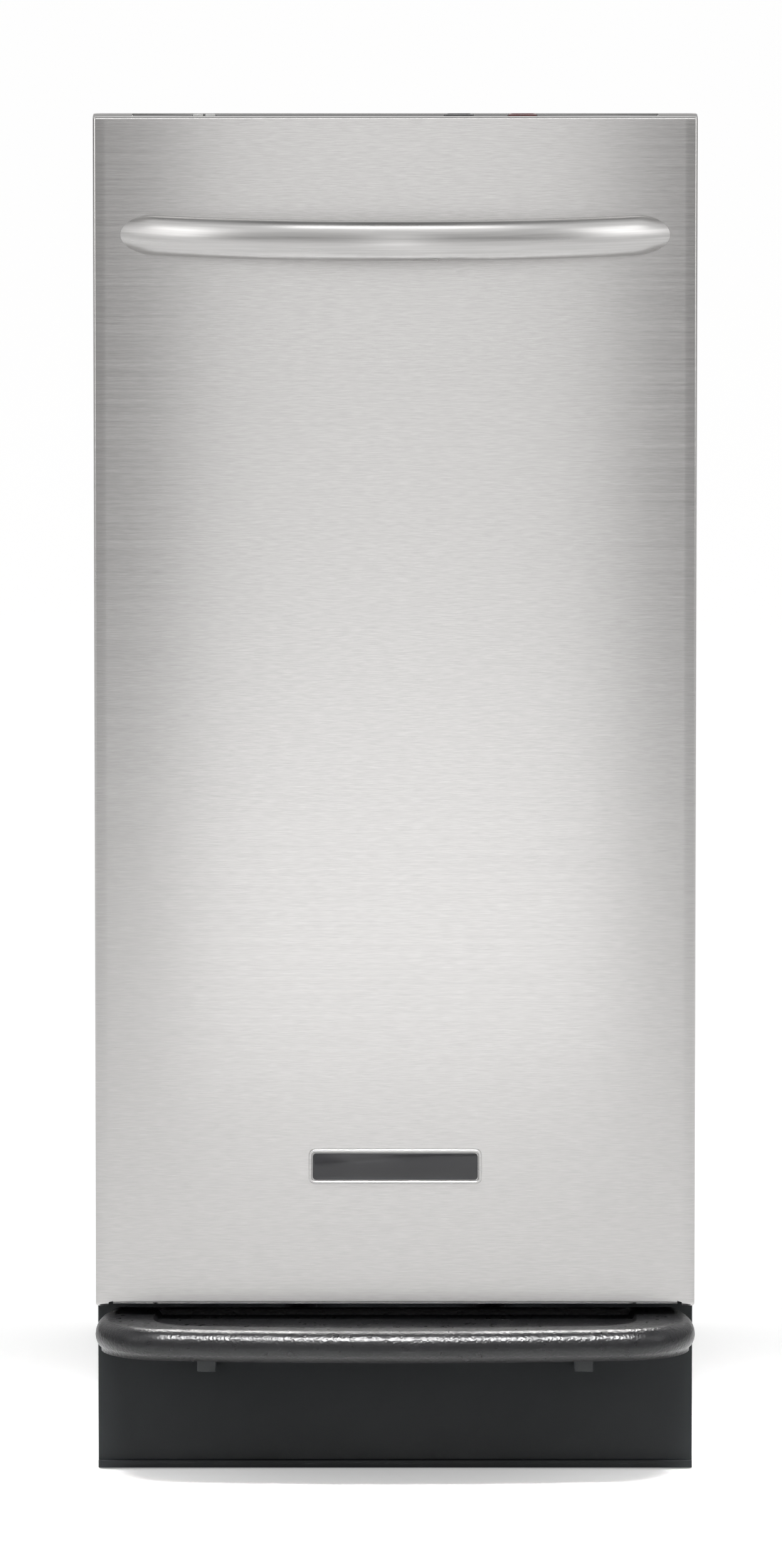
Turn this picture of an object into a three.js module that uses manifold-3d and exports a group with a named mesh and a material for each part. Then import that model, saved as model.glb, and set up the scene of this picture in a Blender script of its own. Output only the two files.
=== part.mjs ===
// A built-in trash compactor, 15 inches wide: a stainless drawer front with a bow handle, a foot pedal and
// a toe panel in front of a steel cabinet. Inside, a motor drives two upright power screws through a belt
// and a chain, and the screws draw a ram down into the bin that rides in the drawer.
// Millimetres. X runs to the right, Y from the front to the back, and Z up from the floor.
import * as THREE from 'three';
import { mergeVertices } from 'three/addons/utils/BufferGeometryUtils.js';
import Module from 'manifold-3d';

const wasm = await Module();
wasm.setup();

// Overall sizes. Every Y below is measured from the face of the door.
const WIDTH = 379.4; // across the door
const HEIGHT = 866.8; // floor to the top of the door
const DEPTH = 625; // face of the door to the back of the cabinet

// Clearances
const GAP = 0.3; // between fixed pieces that touch
const RUNNING = 0.5; // around a shaft, in its hole or its hub
const SLIDING = 1.5; // beside a part that slides past

// Door
const DOOR_DEPTH = 36;
const DOOR_SHEET = 1;
const DOOR_TO_TOE = 4; // lower edge of the door above the toe panel
const DOOR_TO_CABINET = 4;
const LINER_LIP = 10;

// Bow handle
const HANDLE_INSET = 16.9; // side of the door to the tip of the bow
const HANDLE_REACH = 60.5; // face of the door to the front of the bow
const HANDLE_TALL = 25.4;
const HANDLE_DEEP = 16.5;
const HANDLE_TIP = 23; // how far the rounded end of the bow reaches along it
const HANDLE_DROP = 73.8; // top of the door to the middle of the bow

// Nameplate
const PLATE_WIDTH = 109.4;
const PLATE_HEIGHT = 22;
const PLATE_THICK = 2;
const PLATE_RISE = 89.4; // lower edge of the door to the middle of the plate
const PLATE_CORNER = 4;

// Console along the top edge of the door
const CONSOLE_INSET = 24.7; // side of the door to the end of the console
const CONSOLE_DEEP = 22;
const CONSOLE_THICK = 12;
const CONSOLE_BACK = 4; // behind the console, to the back of the door
const BUTTON_WIDTH = 18;
const BUTTON_DEEP = 12;
const BUTTON_TALL = 4.5;
const BUTTON_PROUD = 0.8;
const BUTTON_SPACING = 40;
const KNOB_RADIUS = 8;
const KNOB_TALL = 7;
const KNOB_TO_END = 45; // middle of the knob to the left end of the console
const KNOB_STEM = 3;
const KNOB_WELL = 2.6;

// Cabinet
const CABINET_INSET = 0.3; // each side of the cabinet, inside the door's width
const CABINET_DROP = 42; // top of the door to the top of the cabinet
const CABINET_SHEET = 1.2;
const CABINET_BOTTOM = 16;
const FLANGE = 12;
const TOP_FLANGE = 18;
const LOUVRES = 7;
const LOUVRE_WIDTH = 70;
const LOUVRE_TALL = 4;
const LOUVRE_PITCH = 12;

// Toe panel
const TOE_SETBACK = 10; // front of the cabinet to the face of the toe panel
const TOE_OVER_DECK = 3;
const TOE_BOTTOM = 1;
const TOE_LIP_TALL = 5;
const TOE_LIP_DEEP = 4;
const TOE_RETURN = 20;

// Chassis, an upturned steel tray with the drive beneath its deck
const CHASSIS_TOP = 106;
const CHASSIS_SHEET = 1.5;
const BEAM_SHEET = 3;
const BEAM_TALL = 20;
const BEAM_HALF = 32; // half the width of the beam that carries the power screws

// Levelling legs at the front and wheels at the back
const LEG_INSET = 24; // cabinet side to the leg
const LEG_Y = 86;
const LEG_RADIUS = 5;
const LEG_TALL = 64;
const LEG_PAD_RADIUS = 17;
const LEG_PAD_TALL = 8;
const LEG_NUT = 9; // half the width of the hexagon
const LEG_NUT_TALL = 7;
const LEG_TAB_Z = 40;
const LEG_TAB_HALF = 18;
const WHEEL_RADIUS = 25;
const WHEEL_WIDTH = 16;
const WHEEL_INSET = 24; // cabinet side to the middle of the wheel
const AXLE_RADIUS = 4;
const AXLE_BACK = 36; // back of the cabinet to the axle

// Power screws and their chain
const SCREW_RADIUS = 8;
const JOURNAL_RADIUS = 7;
const SCREW_BELOW_SPROCKET = 10;
const UPPER_JOURNAL = 6;
const BEARING_RADIUS = 15;
const BEARING_TALL = 9;
const CHAIN_PITCH = 9.525;
const SCREW_TEETH = 12;
const DRIVE_TEETH = 9;
const SPROCKET_BELOW_PULLEY = 20; // underside to underside
const SPROCKET_THICK = 5;
const SPROCKET_BORE = JOURNAL_RADIUS + GAP;
const ROLLER_RADIUS = 2.54;
const CHAIN_THICK = 5;
const CHAIN_TALL = 9;
const CHAIN_TO_WALL = 2.5; // at the sides of the chassis

// Uprights and top beam of the power frame
const UPRIGHT_SHEET = 2;
const UPRIGHT_DEEP = 14;
const UPRIGHT_HALF = 30;
const TOP_BEAM_TALL = 20;

// Motor and belt
const MOTOR_RADIUS = 57;
const MOTOR_TALL = 118;
const MOTOR_TO_TRACK = 20.9;
const MOTOR_FOOT_EDGE = 1; // foot beyond the housing
const MOTOR_FOOT = 5;
const MOTOR_BORE = 40;
const SHAFT_RADIUS = 6;
const PULLEY_BELOW_DECK = 28.5; // underside of the deck to the underside of both pulleys
const PULLEY_TALL = 12;
const MOTOR_PULLEY_RADIUS = 13;
const DRIVE_PULLEY_RADIUS = 58.5;
const BELT_THICK = 3;
const MOTOR_TO_DRIVE = 100; // motor shaft to jackshaft, across the cabinet
const DRIVE_BEHIND_BIN = 30;
const DRIVE_SHAFT_RADIUS = 7;
const STRAP_BELOW_SPROCKET = 22;
const STRAP_HALF = 12;
const STRAP_THICK = 3;

// Drawer, its tracks and rollers
const TRACK_SHEET = 1.5;
const TRACK_OVER_DECK = 18;
const TRACK_TALL = 46;
const TRACK_FLANGE = 13.5;
const TRACK_BEHIND_TOE = 2.8;
const TRACK_BACK = 24; // back of the cabinet to the back of the track
const ROLLER_WIDTH = 9;
const ROLLER_PIN = 4;
const RAIL_WEB = 35;
const RAIL_SHEET = 1.5;
const TRAY_OVER_DECK = 12;
const TRAY_SHEET = 1.5;
const TRAY_LIP = 46;
const STRIKE_WIDTH = 30;

// Bin
const BIN_TALL = 409;
const BIN_WALL = 2.5;
const BIN_TAPER = 7; // each wall leans in by this much from the rim to the floor
const BIN_RIM = 5;
const BIN_RIM_TALL = 8;
const BIN_BEHIND_DOOR = 26;
const MOTOR_BAY = 162; // back of the bin to the back of the cabinet

// Ram
const RAM_TO_RIM = 12;
const RAM_SIDE = 8; // edge of the ram to the inside of the bin
const RAM_PLATE = 6;
const RAM_SHEET = 1.5;
const RAM_INSET = 5;
const CROSSHEAD_SHEET = 4;
const CROSSHEAD_TALL = 26;
const CROSSHEAD_HALF = 27;
const NUT_RADIUS = 12.5;
const NUT_FLANGE = 17;
const NUT_FLANGE_TALL = 5;
const NUT_TALL = 30;

// Foot pedal and its hinges
const PEDAL_REACH = 62; // face of the door to the front of the bar, at its ends
const PEDAL_BOW = 8; // how much further the middle of the bar reaches
const PEDAL_BAR = 10; // radius of the bar
const PEDAL_DROP = 16; // lower edge of the door to the middle of the bar
const PEDAL_CORNER = 40;
const PEDAL_TURN_IN = 7; // how far the rear ends of the bar turn in
const PEDAL_BACK = 4; // back of the web to the hinge
const PEDAL_WEB = 2.5;
const PEDAL_WEB_RISE = 2; // middle of the bar to the underside of the web
const HINGE_INSET = 69.7; // side of the door to the middle of each lug
const HINGE_TO_TOE = 12;
const HINGE_DROP = 13; // middle of the bar to the hinge
const HINGE_PIN = 3;
const LUG_WIDTH = 12;
const LUG_REACH = 10; // in front of the pin
const LUG_BELOW = 18; // the hinge to the foot of the lug
const LUG_ABOVE = 11;
const EAR_THICK = 3;
const EAR_RADIUS = 8;
const FINGER_X = 60;
const FINGER_WIDTH = 20;
const FINGER_THICK = 3;
const FINGER_TO_TRAY = 2.5;
const SPRING_WIDTH = 14;
const SPRING_WALL = 2;

// Cord inlet and ram switch
const INLET_RADIUS = 11;
const INLET_X = -135;
const INLET_OVER_DECK = 54;
const INLET_BORE = 5;
const SWITCH_SIZE = 18;
const SWITCH_TALL = 6;

const SIDES = 20; // of a round piece
const FINE_SIDES = 28; // of a large round piece

// Places worked out from the sizes above
const cabinetHalf = WIDTH / 2 - CABINET_INSET;
const cabinetFront = DOOR_DEPTH + DOOR_TO_CABINET;
const cabinetTop = HEIGHT - CABINET_DROP;
const innerHalf = cabinetHalf - CABINET_SHEET - GAP;
const panelBack = DEPTH - CABINET_SHEET - GAP; // back edge of the side and top panels
const chassisBack = panelBack - CABINET_SHEET - GAP;
const toeFace = cabinetFront + TOE_SETBACK;
const toeBack = toeFace + CABINET_SHEET;
const toeTop = CHASSIS_TOP + TOE_OVER_DECK;
const doorBottom = toeTop + DOOR_TO_TOE;
const chassisFront = toeBack + GAP;
const chassisUnder = CHASSIS_TOP - CHASSIS_SHEET;
const pulleyZ = chassisUnder - PULLEY_BELOW_DECK;
const sprocketZ = pulleyZ - SPROCKET_BELOW_PULLEY;
const strapZ = sprocketZ - STRAP_BELOW_SPROCKET;
const screwBottom = sprocketZ - SCREW_BELOW_SPROCKET;
const tipAdd = ROLLER_RADIUS * 0.7;
// From a screw's axis to the outside of its chain
const chainReach = pitchRadius(SCREW_TEETH) + tipAdd + GAP + CHAIN_THICK;
const screwX = innerHalf - CHASSIS_SHEET - CHAIN_TO_WALL - chainReach;
const trackWeb = screwX - SCREW_RADIUS - SLIDING - TRACK_SHEET; // inner face of the track's web
const railX = trackWeb - TRACK_FLANGE - SLIDING - RAIL_SHEET; // inner face of the drawer rail
const trayHalf = railX - GAP;
const binHalf = trayHalf - TRAY_SHEET - GAP - BIN_RIM;
const binBack = DEPTH - MOTOR_BAY;
const trayBottom = CHASSIS_TOP + TRAY_OVER_DECK;
const binFront = DOOR_DEPTH + BIN_BEHIND_DOOR;
const binFloor = trayBottom + TRAY_SHEET + GAP;
const binRim = binFloor + BIN_TALL;
const screwY = (binFront + binBack) / 2;
const topBeamBottom = cabinetTop - 2 * CABINET_SHEET - 2 * GAP - TOP_BEAM_TALL;
const crossheadTop = topBeamBottom - NUT_FLANGE_TALL - 2 * SLIDING;
const ramBottom = binRim + RAM_TO_RIM;
const ramHalf = binHalf - BIN_WALL - BIN_TAPER - RAM_SIDE;
const ramFront = binFront + BIN_WALL + BIN_TAPER + RAM_SIDE;
const ramBack = binBack - BIN_WALL - BIN_TAPER - RAM_SIDE;
const motorX = trackWeb - TRACK_FLANGE - MOTOR_TO_TRACK - MOTOR_FOOT_EDGE - MOTOR_RADIUS;
const driveX = motorX - MOTOR_TO_DRIVE;
const motorY = chassisBack - MOTOR_RADIUS - 2 * MOTOR_FOOT_EDGE;
const driveY = binBack + DRIVE_BEHIND_BIN;
const axleY = DEPTH - AXLE_BACK;
const trackBottom = CHASSIS_TOP + TRACK_OVER_DECK;
const trackTop = trackBottom + TRACK_TALL;
const consoleHalf = WIDTH / 2 - CONSOLE_INSET;
const knobX = KNOB_TO_END - consoleHalf;
const handleHalf = WIDTH / 2 - HANDLE_INSET;
const handleZ = HEIGHT - HANDLE_DROP;
const hingeX = WIDTH / 2 - HINGE_INSET;
const inletZ = CHASSIS_TOP + INLET_OVER_DECK;
const barZ = doorBottom - PEDAL_DROP;
const hingeY = toeFace - HINGE_TO_TOE;
const hingeZ = barZ - HINGE_DROP;

function pitchRadius(teeth) {
  return CHAIN_PITCH / (2 * Math.sin(Math.PI / teeth));
}

// Solids: boxes, rounds, turned and extruded shapes, and what joins and cuts them

function box(x0, x1, y0, y1, z0, z1) {
  const geometry = new THREE.BoxGeometry(Math.abs(x1 - x0), Math.abs(y1 - y0), Math.abs(z1 - z0));
  return geometry.translate((x0 + x1) / 2, (y0 + y1) / 2, (z0 + z1) / 2);
}

// A cylinder between two values along an axis, centred on the other two coordinates.
function round(axis, radius, from, to, a = 0, b = 0, sides = SIDES) {
  const geometry = new THREE.CylinderGeometry(radius, radius, Math.abs(to - from), sides);
  const middle = (from + to) / 2;
  if (axis === 'x') return geometry.rotateZ(Math.PI / 2).translate(middle, a, b);
  if (axis === 'y') return geometry.translate(a, middle, b);
  return geometry.rotateX(Math.PI / 2).translate(a, b, middle);
}

// Turned about Z from [radius, height] points that run up the outside and back down the bore.
function turned(points, sides = SIDES) {
  const profile = points.map(([radius, height]) => new THREE.Vector2(radius, height));
  profile.push(profile[0].clone());
  return new THREE.LatheGeometry(profile, sides).rotateX(Math.PI / 2);
}

function extruded(shape, from, to, curveSegments = 6) {
  const options = { depth: to - from, bevelEnabled: false, curveSegments };
  return new THREE.ExtrudeGeometry(shape, options).translate(0, 0, from);
}

function solidOf(geometry) {
  const bare = geometry.clone();
  bare.deleteAttribute('normal');
  bare.deleteAttribute('uv');
  const merged = mergeVertices(bare, 1e-4);
  return new wasm.Manifold(
    new wasm.Mesh({
      numProp: 3,
      vertProperties: merged.attributes.position.array,
      triVerts: new Uint32Array(merged.index.array),
    }),
  );
}

function geometryOf(solid) {
  const { numVert, numProp, vertProperties, triVerts } = solid.getMesh();
  const positions = new Float32Array(numVert * 3);
  for (let i = 0; i < numVert; i++) {
    positions.set(vertProperties.subarray(i * numProp, i * numProp + 3), i * 3);
  }
  const geometry = new THREE.BufferGeometry();
  geometry.setAttribute('position', new THREE.BufferAttribute(positions, 3));
  geometry.setIndex(new THREE.BufferAttribute(new Uint32Array(triVerts), 1));
  geometry.computeVertexNormals();
  return geometry;
}

function join(...geometries) {
  return geometryOf(geometries.map(solidOf).reduce((whole, piece) => whole.add(piece)));
}

function cut(geometry, ...tools) {
  return geometryOf(tools.map(solidOf).reduce((rest, tool) => rest.subtract(tool), solidOf(geometry)));
}

function overlapOf(a, b) {
  return geometryOf(solidOf(a).intersect(solidOf(b)));
}

// Finishes
const stainless = new THREE.MeshStandardMaterial({ color: 0xc9c7c5, roughness: 0.35, metalness: 1 });
const blackPlastic = new THREE.MeshStandardMaterial({ color: 0x16191a, roughness: 0.45, metalness: 0 });
const blackSteel = new THREE.MeshStandardMaterial({ color: 0x202526, roughness: 0.6, metalness: 0.2 });
const blackGloss = new THREE.MeshStandardMaterial({ color: 0x0a0a0a, roughness: 0.2, metalness: 0 });
const greyPaint = new THREE.MeshStandardMaterial({ color: 0x8c9193, roughness: 0.55, metalness: 0.2 });
const galvanised = new THREE.MeshStandardMaterial({ color: 0xa9adae, roughness: 0.5, metalness: 0.8 });
const plainSteel = new THREE.MeshStandardMaterial({ color: 0x9a9a98, roughness: 0.3, metalness: 1 });
const binPlastic = new THREE.MeshStandardMaterial({ color: 0x5b6064, roughness: 0.5, metalness: 0 });
const nylon = new THREE.MeshStandardMaterial({ color: 0xe4e0d2, roughness: 0.5, metalness: 0 });
const rubber = new THREE.MeshStandardMaterial({ color: 0x1c1c1c, roughness: 0.85, metalness: 0 });
const bronze = new THREE.MeshStandardMaterial({ color: 0xa9834a, roughness: 0.35, metalness: 1 });
const redPlastic = new THREE.MeshStandardMaterial({ color: 0xa02822, roughness: 0.4, metalness: 0 });

function piece(parent, name, geometry, material, x = 0, y = 0, z = 0) {
  const mesh = new THREE.Mesh(geometry, material);
  mesh.name = name;
  mesh.position.set(x, y, z);
  parent.add(mesh);
  return mesh;
}

const compactor = new THREE.Group();
const cabinet = new THREE.Group();
const drive = new THREE.Group();
const ram = new THREE.Group();
const drawer = new THREE.Group();
const door = new THREE.Group();
const pedal = new THREE.Group();
compactor.add(cabinet, drive, ram, drawer, pedal);
drawer.add(door);

const bothSides = [
  ['left', -1],
  ['right', 1],
];

// Side panels: folded sheets with flanges at the front, back and top, notched at the toe panel.
function sidePanel(side) {
  const outer = side * cabinetHalf;
  const inner = side * (cabinetHalf - CABINET_SHEET);
  const flange = side * (cabinetHalf - FLANGE);
  const top = cabinetTop - CABINET_SHEET - GAP;
  const notchTop = toeTop + GAP;
  return join(
    box(outer, inner, cabinetFront, panelBack, notchTop, top),
    box(outer, inner, toeBack + TOE_RETURN + GAP, panelBack, CABINET_BOTTOM, notchTop + CABINET_SHEET),
    box(outer, flange, cabinetFront, cabinetFront + CABINET_SHEET, notchTop, top),
    box(outer, flange, panelBack - CABINET_SHEET, panelBack, CABINET_BOTTOM, top),
    box(outer, flange, cabinetFront, panelBack, top - CABINET_SHEET, top),
  );
}
for (const [name, side] of bothSides) {
  piece(cabinet, `${name}_side_panel`, sidePanel(side), greyPaint);
}

// Top panel: a sheet that caps the side panels, with a short apron at the front.
function topPanel() {
  const apron = cabinetHalf - FLANGE - GAP;
  return join(
    box(-cabinetHalf, cabinetHalf, cabinetFront, panelBack, -CABINET_SHEET, 0),
    box(-apron, apron, cabinetFront, cabinetFront + CABINET_SHEET, -TOP_FLANGE, 0),
  );
}
piece(cabinet, 'top_panel', topPanel(), greyPaint, 0, 0, cabinetTop);

// Rear panel: a flat sheet with louvres behind the motor and a round hole for the supply cord.
function rearPanel() {
  const sheet = box(-cabinetHalf, cabinetHalf, 0, CABINET_SHEET, CABINET_BOTTOM, cabinetTop);
  const openings = [round('y', INLET_RADIUS, -1, CABINET_SHEET + 1, INLET_X, inletZ)];
  const first = CHASSIS_TOP + MOTOR_FOOT + 20;
  for (let i = 0; i < LOUVRES; i++) {
    const z = first + i * LOUVRE_PITCH;
    const left = motorX - LOUVRE_WIDTH / 2;
    openings.push(box(left, left + LOUVRE_WIDTH, -1, CABINET_SHEET + 1, z, z + LOUVRE_TALL));
  }
  return cut(sheet, ...openings);
}
piece(cabinet, 'rear_panel', rearPanel(), galvanised, 0, DEPTH - CABINET_SHEET, 0);

// Cord inlet: a flanged bush that snaps into the rear panel.
function cordInlet() {
  const neck = INLET_RADIUS - GAP;
  const front = -CABINET_SHEET - GAP;
  return turned([
    [INLET_BORE, front - 6],
    [neck - 1, front - 6],
    [neck, front],
    [neck, GAP],
    [neck + 4, GAP],
    [neck + 4, GAP + 2],
    [INLET_BORE + 2, GAP + 5],
    [INLET_BORE, GAP + 5],
  ]).rotateX(-Math.PI / 2);
}
piece(cabinet, 'cord_inlet', cordInlet(), blackPlastic, INLET_X, DEPTH, inletZ);

// Chassis: the deck that carries the drawer tracks, the motor and the power screws, folded down on all
// four sides, with a welded beam across it and a tab for each levelling leg.
function chassis() {
  const tray = cut(
    box(-innerHalf, innerHalf, chassisFront, chassisBack, CABINET_BOTTOM, CHASSIS_TOP),
    box(
      -innerHalf + CHASSIS_SHEET,
      innerHalf - CHASSIS_SHEET,
      chassisFront + CHASSIS_SHEET,
      chassisBack - CHASSIS_SHEET,
      0,
      chassisUnder,
    ),
  );
  const welded = [];
  for (const edge of [-1, 1]) {
    const y = screwY + edge * BEAM_HALF;
    const beamInner = y - edge * BEAM_SHEET;
    welded.push(box(-innerHalf + 1, innerHalf - 1, y, beamInner, chassisUnder - BEAM_TALL, chassisUnder + 1));
  }
  const holes = [];
  for (const [, side] of bothSides) {
    const legX = side * (cabinetHalf - LEG_INSET);
    const wall = side * (innerHalf - 1);
    welded.push(
      box(
        legX - side * LEG_TAB_HALF,
        wall,
        LEG_Y - LEG_TAB_HALF,
        LEG_Y + LEG_TAB_HALF,
        LEG_TAB_Z,
        LEG_TAB_Z + BEAM_SHEET,
      ),
    );
    holes.push(round('z', LEG_RADIUS + RUNNING, 0, CHASSIS_TOP - 10, legX, LEG_Y));
    const journalHole = JOURNAL_RADIUS + RUNNING;
    holes.push(round('z', journalHole, chassisUnder - 5, CHASSIS_TOP + 5, side * screwX, screwY));
  }
  holes.push(round('z', SHAFT_RADIUS + 2, chassisUnder - 5, CHASSIS_TOP + 5, motorX, motorY));
  holes.push(round('z', DRIVE_SHAFT_RADIUS + RUNNING, chassisUnder - 5, CHASSIS_TOP + 5, driveX, driveY));
  holes.push(round('x', AXLE_RADIUS + GAP, -WIDTH, WIDTH, axleY, WHEEL_RADIUS));
  return cut(join(tray, ...welded), ...holes);
}
piece(cabinet, 'chassis', chassis(), galvanised);

// Uprights: channels that stand on the deck behind each power screw and tie it to the top beam.
const uprightBottom = CHASSIS_TOP + GAP;
const uprightTop = cabinetTop - 2 * CABINET_SHEET - 2 * GAP;

function upright(side) {
  const back = side * innerHalf;
  const front = side * (innerHalf - UPRIGHT_DEEP);
  const web = side * (innerHalf - UPRIGHT_SHEET);
  const channel = [box(back, web, -UPRIGHT_HALF, UPRIGHT_HALF, uprightBottom, uprightTop)];
  for (const edge of [-1, 1]) {
    const y = edge * UPRIGHT_HALF;
    channel.push(box(back, front, y, y - edge * UPRIGHT_SHEET, uprightBottom, uprightTop));
  }
  return join(...channel);
}
for (const [name, side] of bothSides) {
  piece(cabinet, `${name}_upright`, upright(side), galvanised, 0, screwY, 0);
}

// Top beam: a channel between the uprights, with a hole for the upper journal of each power screw.
function topBeam() {
  const end = innerHalf - UPRIGHT_SHEET - GAP;
  const half = UPRIGHT_HALF - UPRIGHT_SHEET - GAP;
  const channel = cut(
    box(-end, end, -half, half, 0, TOP_BEAM_TALL),
    box(-end - 1, end + 1, -half + UPRIGHT_SHEET, half - UPRIGHT_SHEET, BEAM_SHEET, TOP_BEAM_TALL + 1),
  );
  const bore = UPPER_JOURNAL + RUNNING;
  return cut(channel, ...bothSides.map(([, side]) => round('z', bore, -1, BEAM_SHEET + 1, side * screwX, 0)));
}
piece(cabinet, 'top_beam', topBeam(), galvanised, 0, screwY, topBeamBottom);

// Ram switch: a flat sealed switch under the top beam, which the crosshead meets at the top of its stroke.
function ramSwitch() {
  return join(
    box(-SWITCH_SIZE / 2, SWITCH_SIZE / 2, -SWITCH_SIZE / 4, SWITCH_SIZE / 4, -SWITCH_TALL, -GAP),
    round('z', 2, -SWITCH_TALL - 1, -GAP - 1, SWITCH_SIZE / 4, 0, 12),
  );
}
piece(cabinet, 'ram_switch', ramSwitch(), blackPlastic, screwX / 2, screwY, topBeamBottom);

// Drawer tracks: channels that open inwards, one on each side of the drawer, on feet that stand on the
// deck. Each has a stub near its front for a roller that carries the drawer's rail.
const trackFront = toeBack + TRACK_BEHIND_TOE;
const trackBack = DEPTH - TRACK_BACK;
const channelBottom = trackBottom + TRACK_SHEET;
const channelTop = trackTop - TRACK_SHEET;
const railFlangeTop = channelTop - 4;
const frontRollerTop = railFlangeTop - RAIL_SHEET - GAP;
const frontRollerRadius = (frontRollerTop - channelBottom - GAP) / 2;
const frontRollerZ = channelBottom + GAP + frontRollerRadius;
const frontRollerY = trackFront + frontRollerRadius + 4;
const rollerInner = trackWeb - GAP - ROLLER_WIDTH;
const rollerOuter = trackWeb - GAP;

function cabinetTrack(side) {
  const web = side * trackWeb;
  const back = side * (trackWeb + TRACK_SHEET);
  const lip = side * (trackWeb - TRACK_FLANGE);
  return join(
    box(web, back, trackFront, trackBack, CHASSIS_TOP + GAP, trackTop),
    box(lip, back, trackFront, trackBack, trackBottom, channelBottom),
    box(lip, back, trackFront, trackBack, channelTop, trackTop),
    round('x', ROLLER_PIN, side * rollerInner, side * (trackWeb + 1), frontRollerY, frontRollerZ),
  );
}

function trackRoller(side, radius) {
  const width = Math.abs(rollerOuter - rollerInner);
  const ring = turned(
    [
      [ROLLER_PIN + RUNNING, 0],
      [radius, 0],
      [radius, width],
      [ROLLER_PIN + RUNNING, width],
    ],
    FINE_SIDES,
  );
  return ring.rotateY((side * Math.PI) / 2);
}
for (const [name, side] of bothSides) {
  piece(cabinet, `${name}_cabinet_track`, cabinetTrack(side), galvanised);
  const roller = trackRoller(side, frontRollerRadius);
  piece(cabinet, `${name}_front_roller`, roller, nylon, side * rollerInner, frontRollerY, frontRollerZ);
}

// Toe panel: a folded sheet with a lip along the floor and a return at each side.
function toePanel() {
  const returns = bothSides.map(([, side]) =>
    box(
      side * cabinetHalf,
      side * (cabinetHalf - CABINET_SHEET),
      0,
      CABINET_SHEET + TOE_RETURN,
      TOE_BOTTOM,
      toeTop,
    ),
  );
  return join(
    box(-cabinetHalf, cabinetHalf, 0, CABINET_SHEET, TOE_BOTTOM, toeTop),
    box(-cabinetHalf, cabinetHalf, -TOE_LIP_DEEP, CABINET_SHEET, TOE_BOTTOM, TOE_BOTTOM + TOE_LIP_TALL),
    ...returns,
  );
}
piece(cabinet, 'toe_panel', toePanel(), blackSteel, 0, toeFace, 0);

// Levelling legs: a threaded stud with a hexagon and a round pad, held in a tab of the chassis.
function levellingLeg() {
  return join(
    turned([
      [0, 0],
      [LEG_PAD_RADIUS, 0],
      [LEG_PAD_RADIUS, LEG_PAD_TALL / 2],
      [LEG_RADIUS + 2, LEG_PAD_TALL],
      [LEG_RADIUS, LEG_PAD_TALL],
      [LEG_RADIUS, LEG_TALL],
      [0, LEG_TALL],
    ]),
    round('z', LEG_NUT, LEG_PAD_TALL + 2, LEG_PAD_TALL + 2 + LEG_NUT_TALL, 0, 0, 6),
  );
}

// Rear wheels: plain wheels that turn on one axle through the sides of the chassis.
function rearWheel() {
  const half = WHEEL_WIDTH / 2;
  return turned(
    [
      [AXLE_RADIUS + RUNNING, -half],
      [AXLE_RADIUS + 5, -half],
      [AXLE_RADIUS + 5, -half + 3],
      [WHEEL_RADIUS - 6, -half + 3],
      [WHEEL_RADIUS - 5, -half],
      [WHEEL_RADIUS - 1.5, -half],
      [WHEEL_RADIUS, -half + 2],
      [WHEEL_RADIUS, half - 2],
      [WHEEL_RADIUS - 1.5, half],
      [WHEEL_RADIUS - 5, half],
      [WHEEL_RADIUS - 6, half - 3],
      [AXLE_RADIUS + 5, half - 3],
      [AXLE_RADIUS + 5, half],
      [AXLE_RADIUS + RUNNING, half],
    ],
    FINE_SIDES,
  ).rotateY(Math.PI / 2);
}
for (const [name, side] of bothSides) {
  const legX = side * (cabinetHalf - LEG_INSET);
  piece(cabinet, `${name}_levelling_leg`, levellingLeg(), plainSteel, legX, LEG_Y, 0);
  const wheelX = side * (cabinetHalf - WHEEL_INSET);
  piece(cabinet, `${name}_rear_wheel`, rearWheel(), blackPlastic, wheelX, axleY, WHEEL_RADIUS);
}
const rearAxle = round('x', AXLE_RADIUS, -innerHalf, innerHalf);
piece(cabinet, 'rear_axle', rearAxle, plainSteel, 0, axleY, WHEEL_RADIUS);

// Power screws: round bars with a journal at each end. The lower journal passes through the deck and a
// thrust bearing under it, and carries a sprocket.
function powerScrew() {
  return turned([
    [0, screwBottom],
    [JOURNAL_RADIUS, screwBottom],
    [JOURNAL_RADIUS, CHASSIS_TOP + 1],
    [SCREW_RADIUS, CHASSIS_TOP + 1],
    [SCREW_RADIUS, topBeamBottom - 1],
    [UPPER_JOURNAL, topBeamBottom - 1],
    [UPPER_JOURNAL, topBeamBottom + BEAM_SHEET + 6],
    [0, topBeamBottom + BEAM_SHEET + 6],
  ]);
}

function thrustBearing() {
  return turned([
    [JOURNAL_RADIUS + RUNNING, -BEARING_TALL],
    [BEARING_RADIUS, -BEARING_TALL],
    [BEARING_RADIUS, 0],
    [JOURNAL_RADIUS + RUNNING, 0],
  ]);
}

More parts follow.
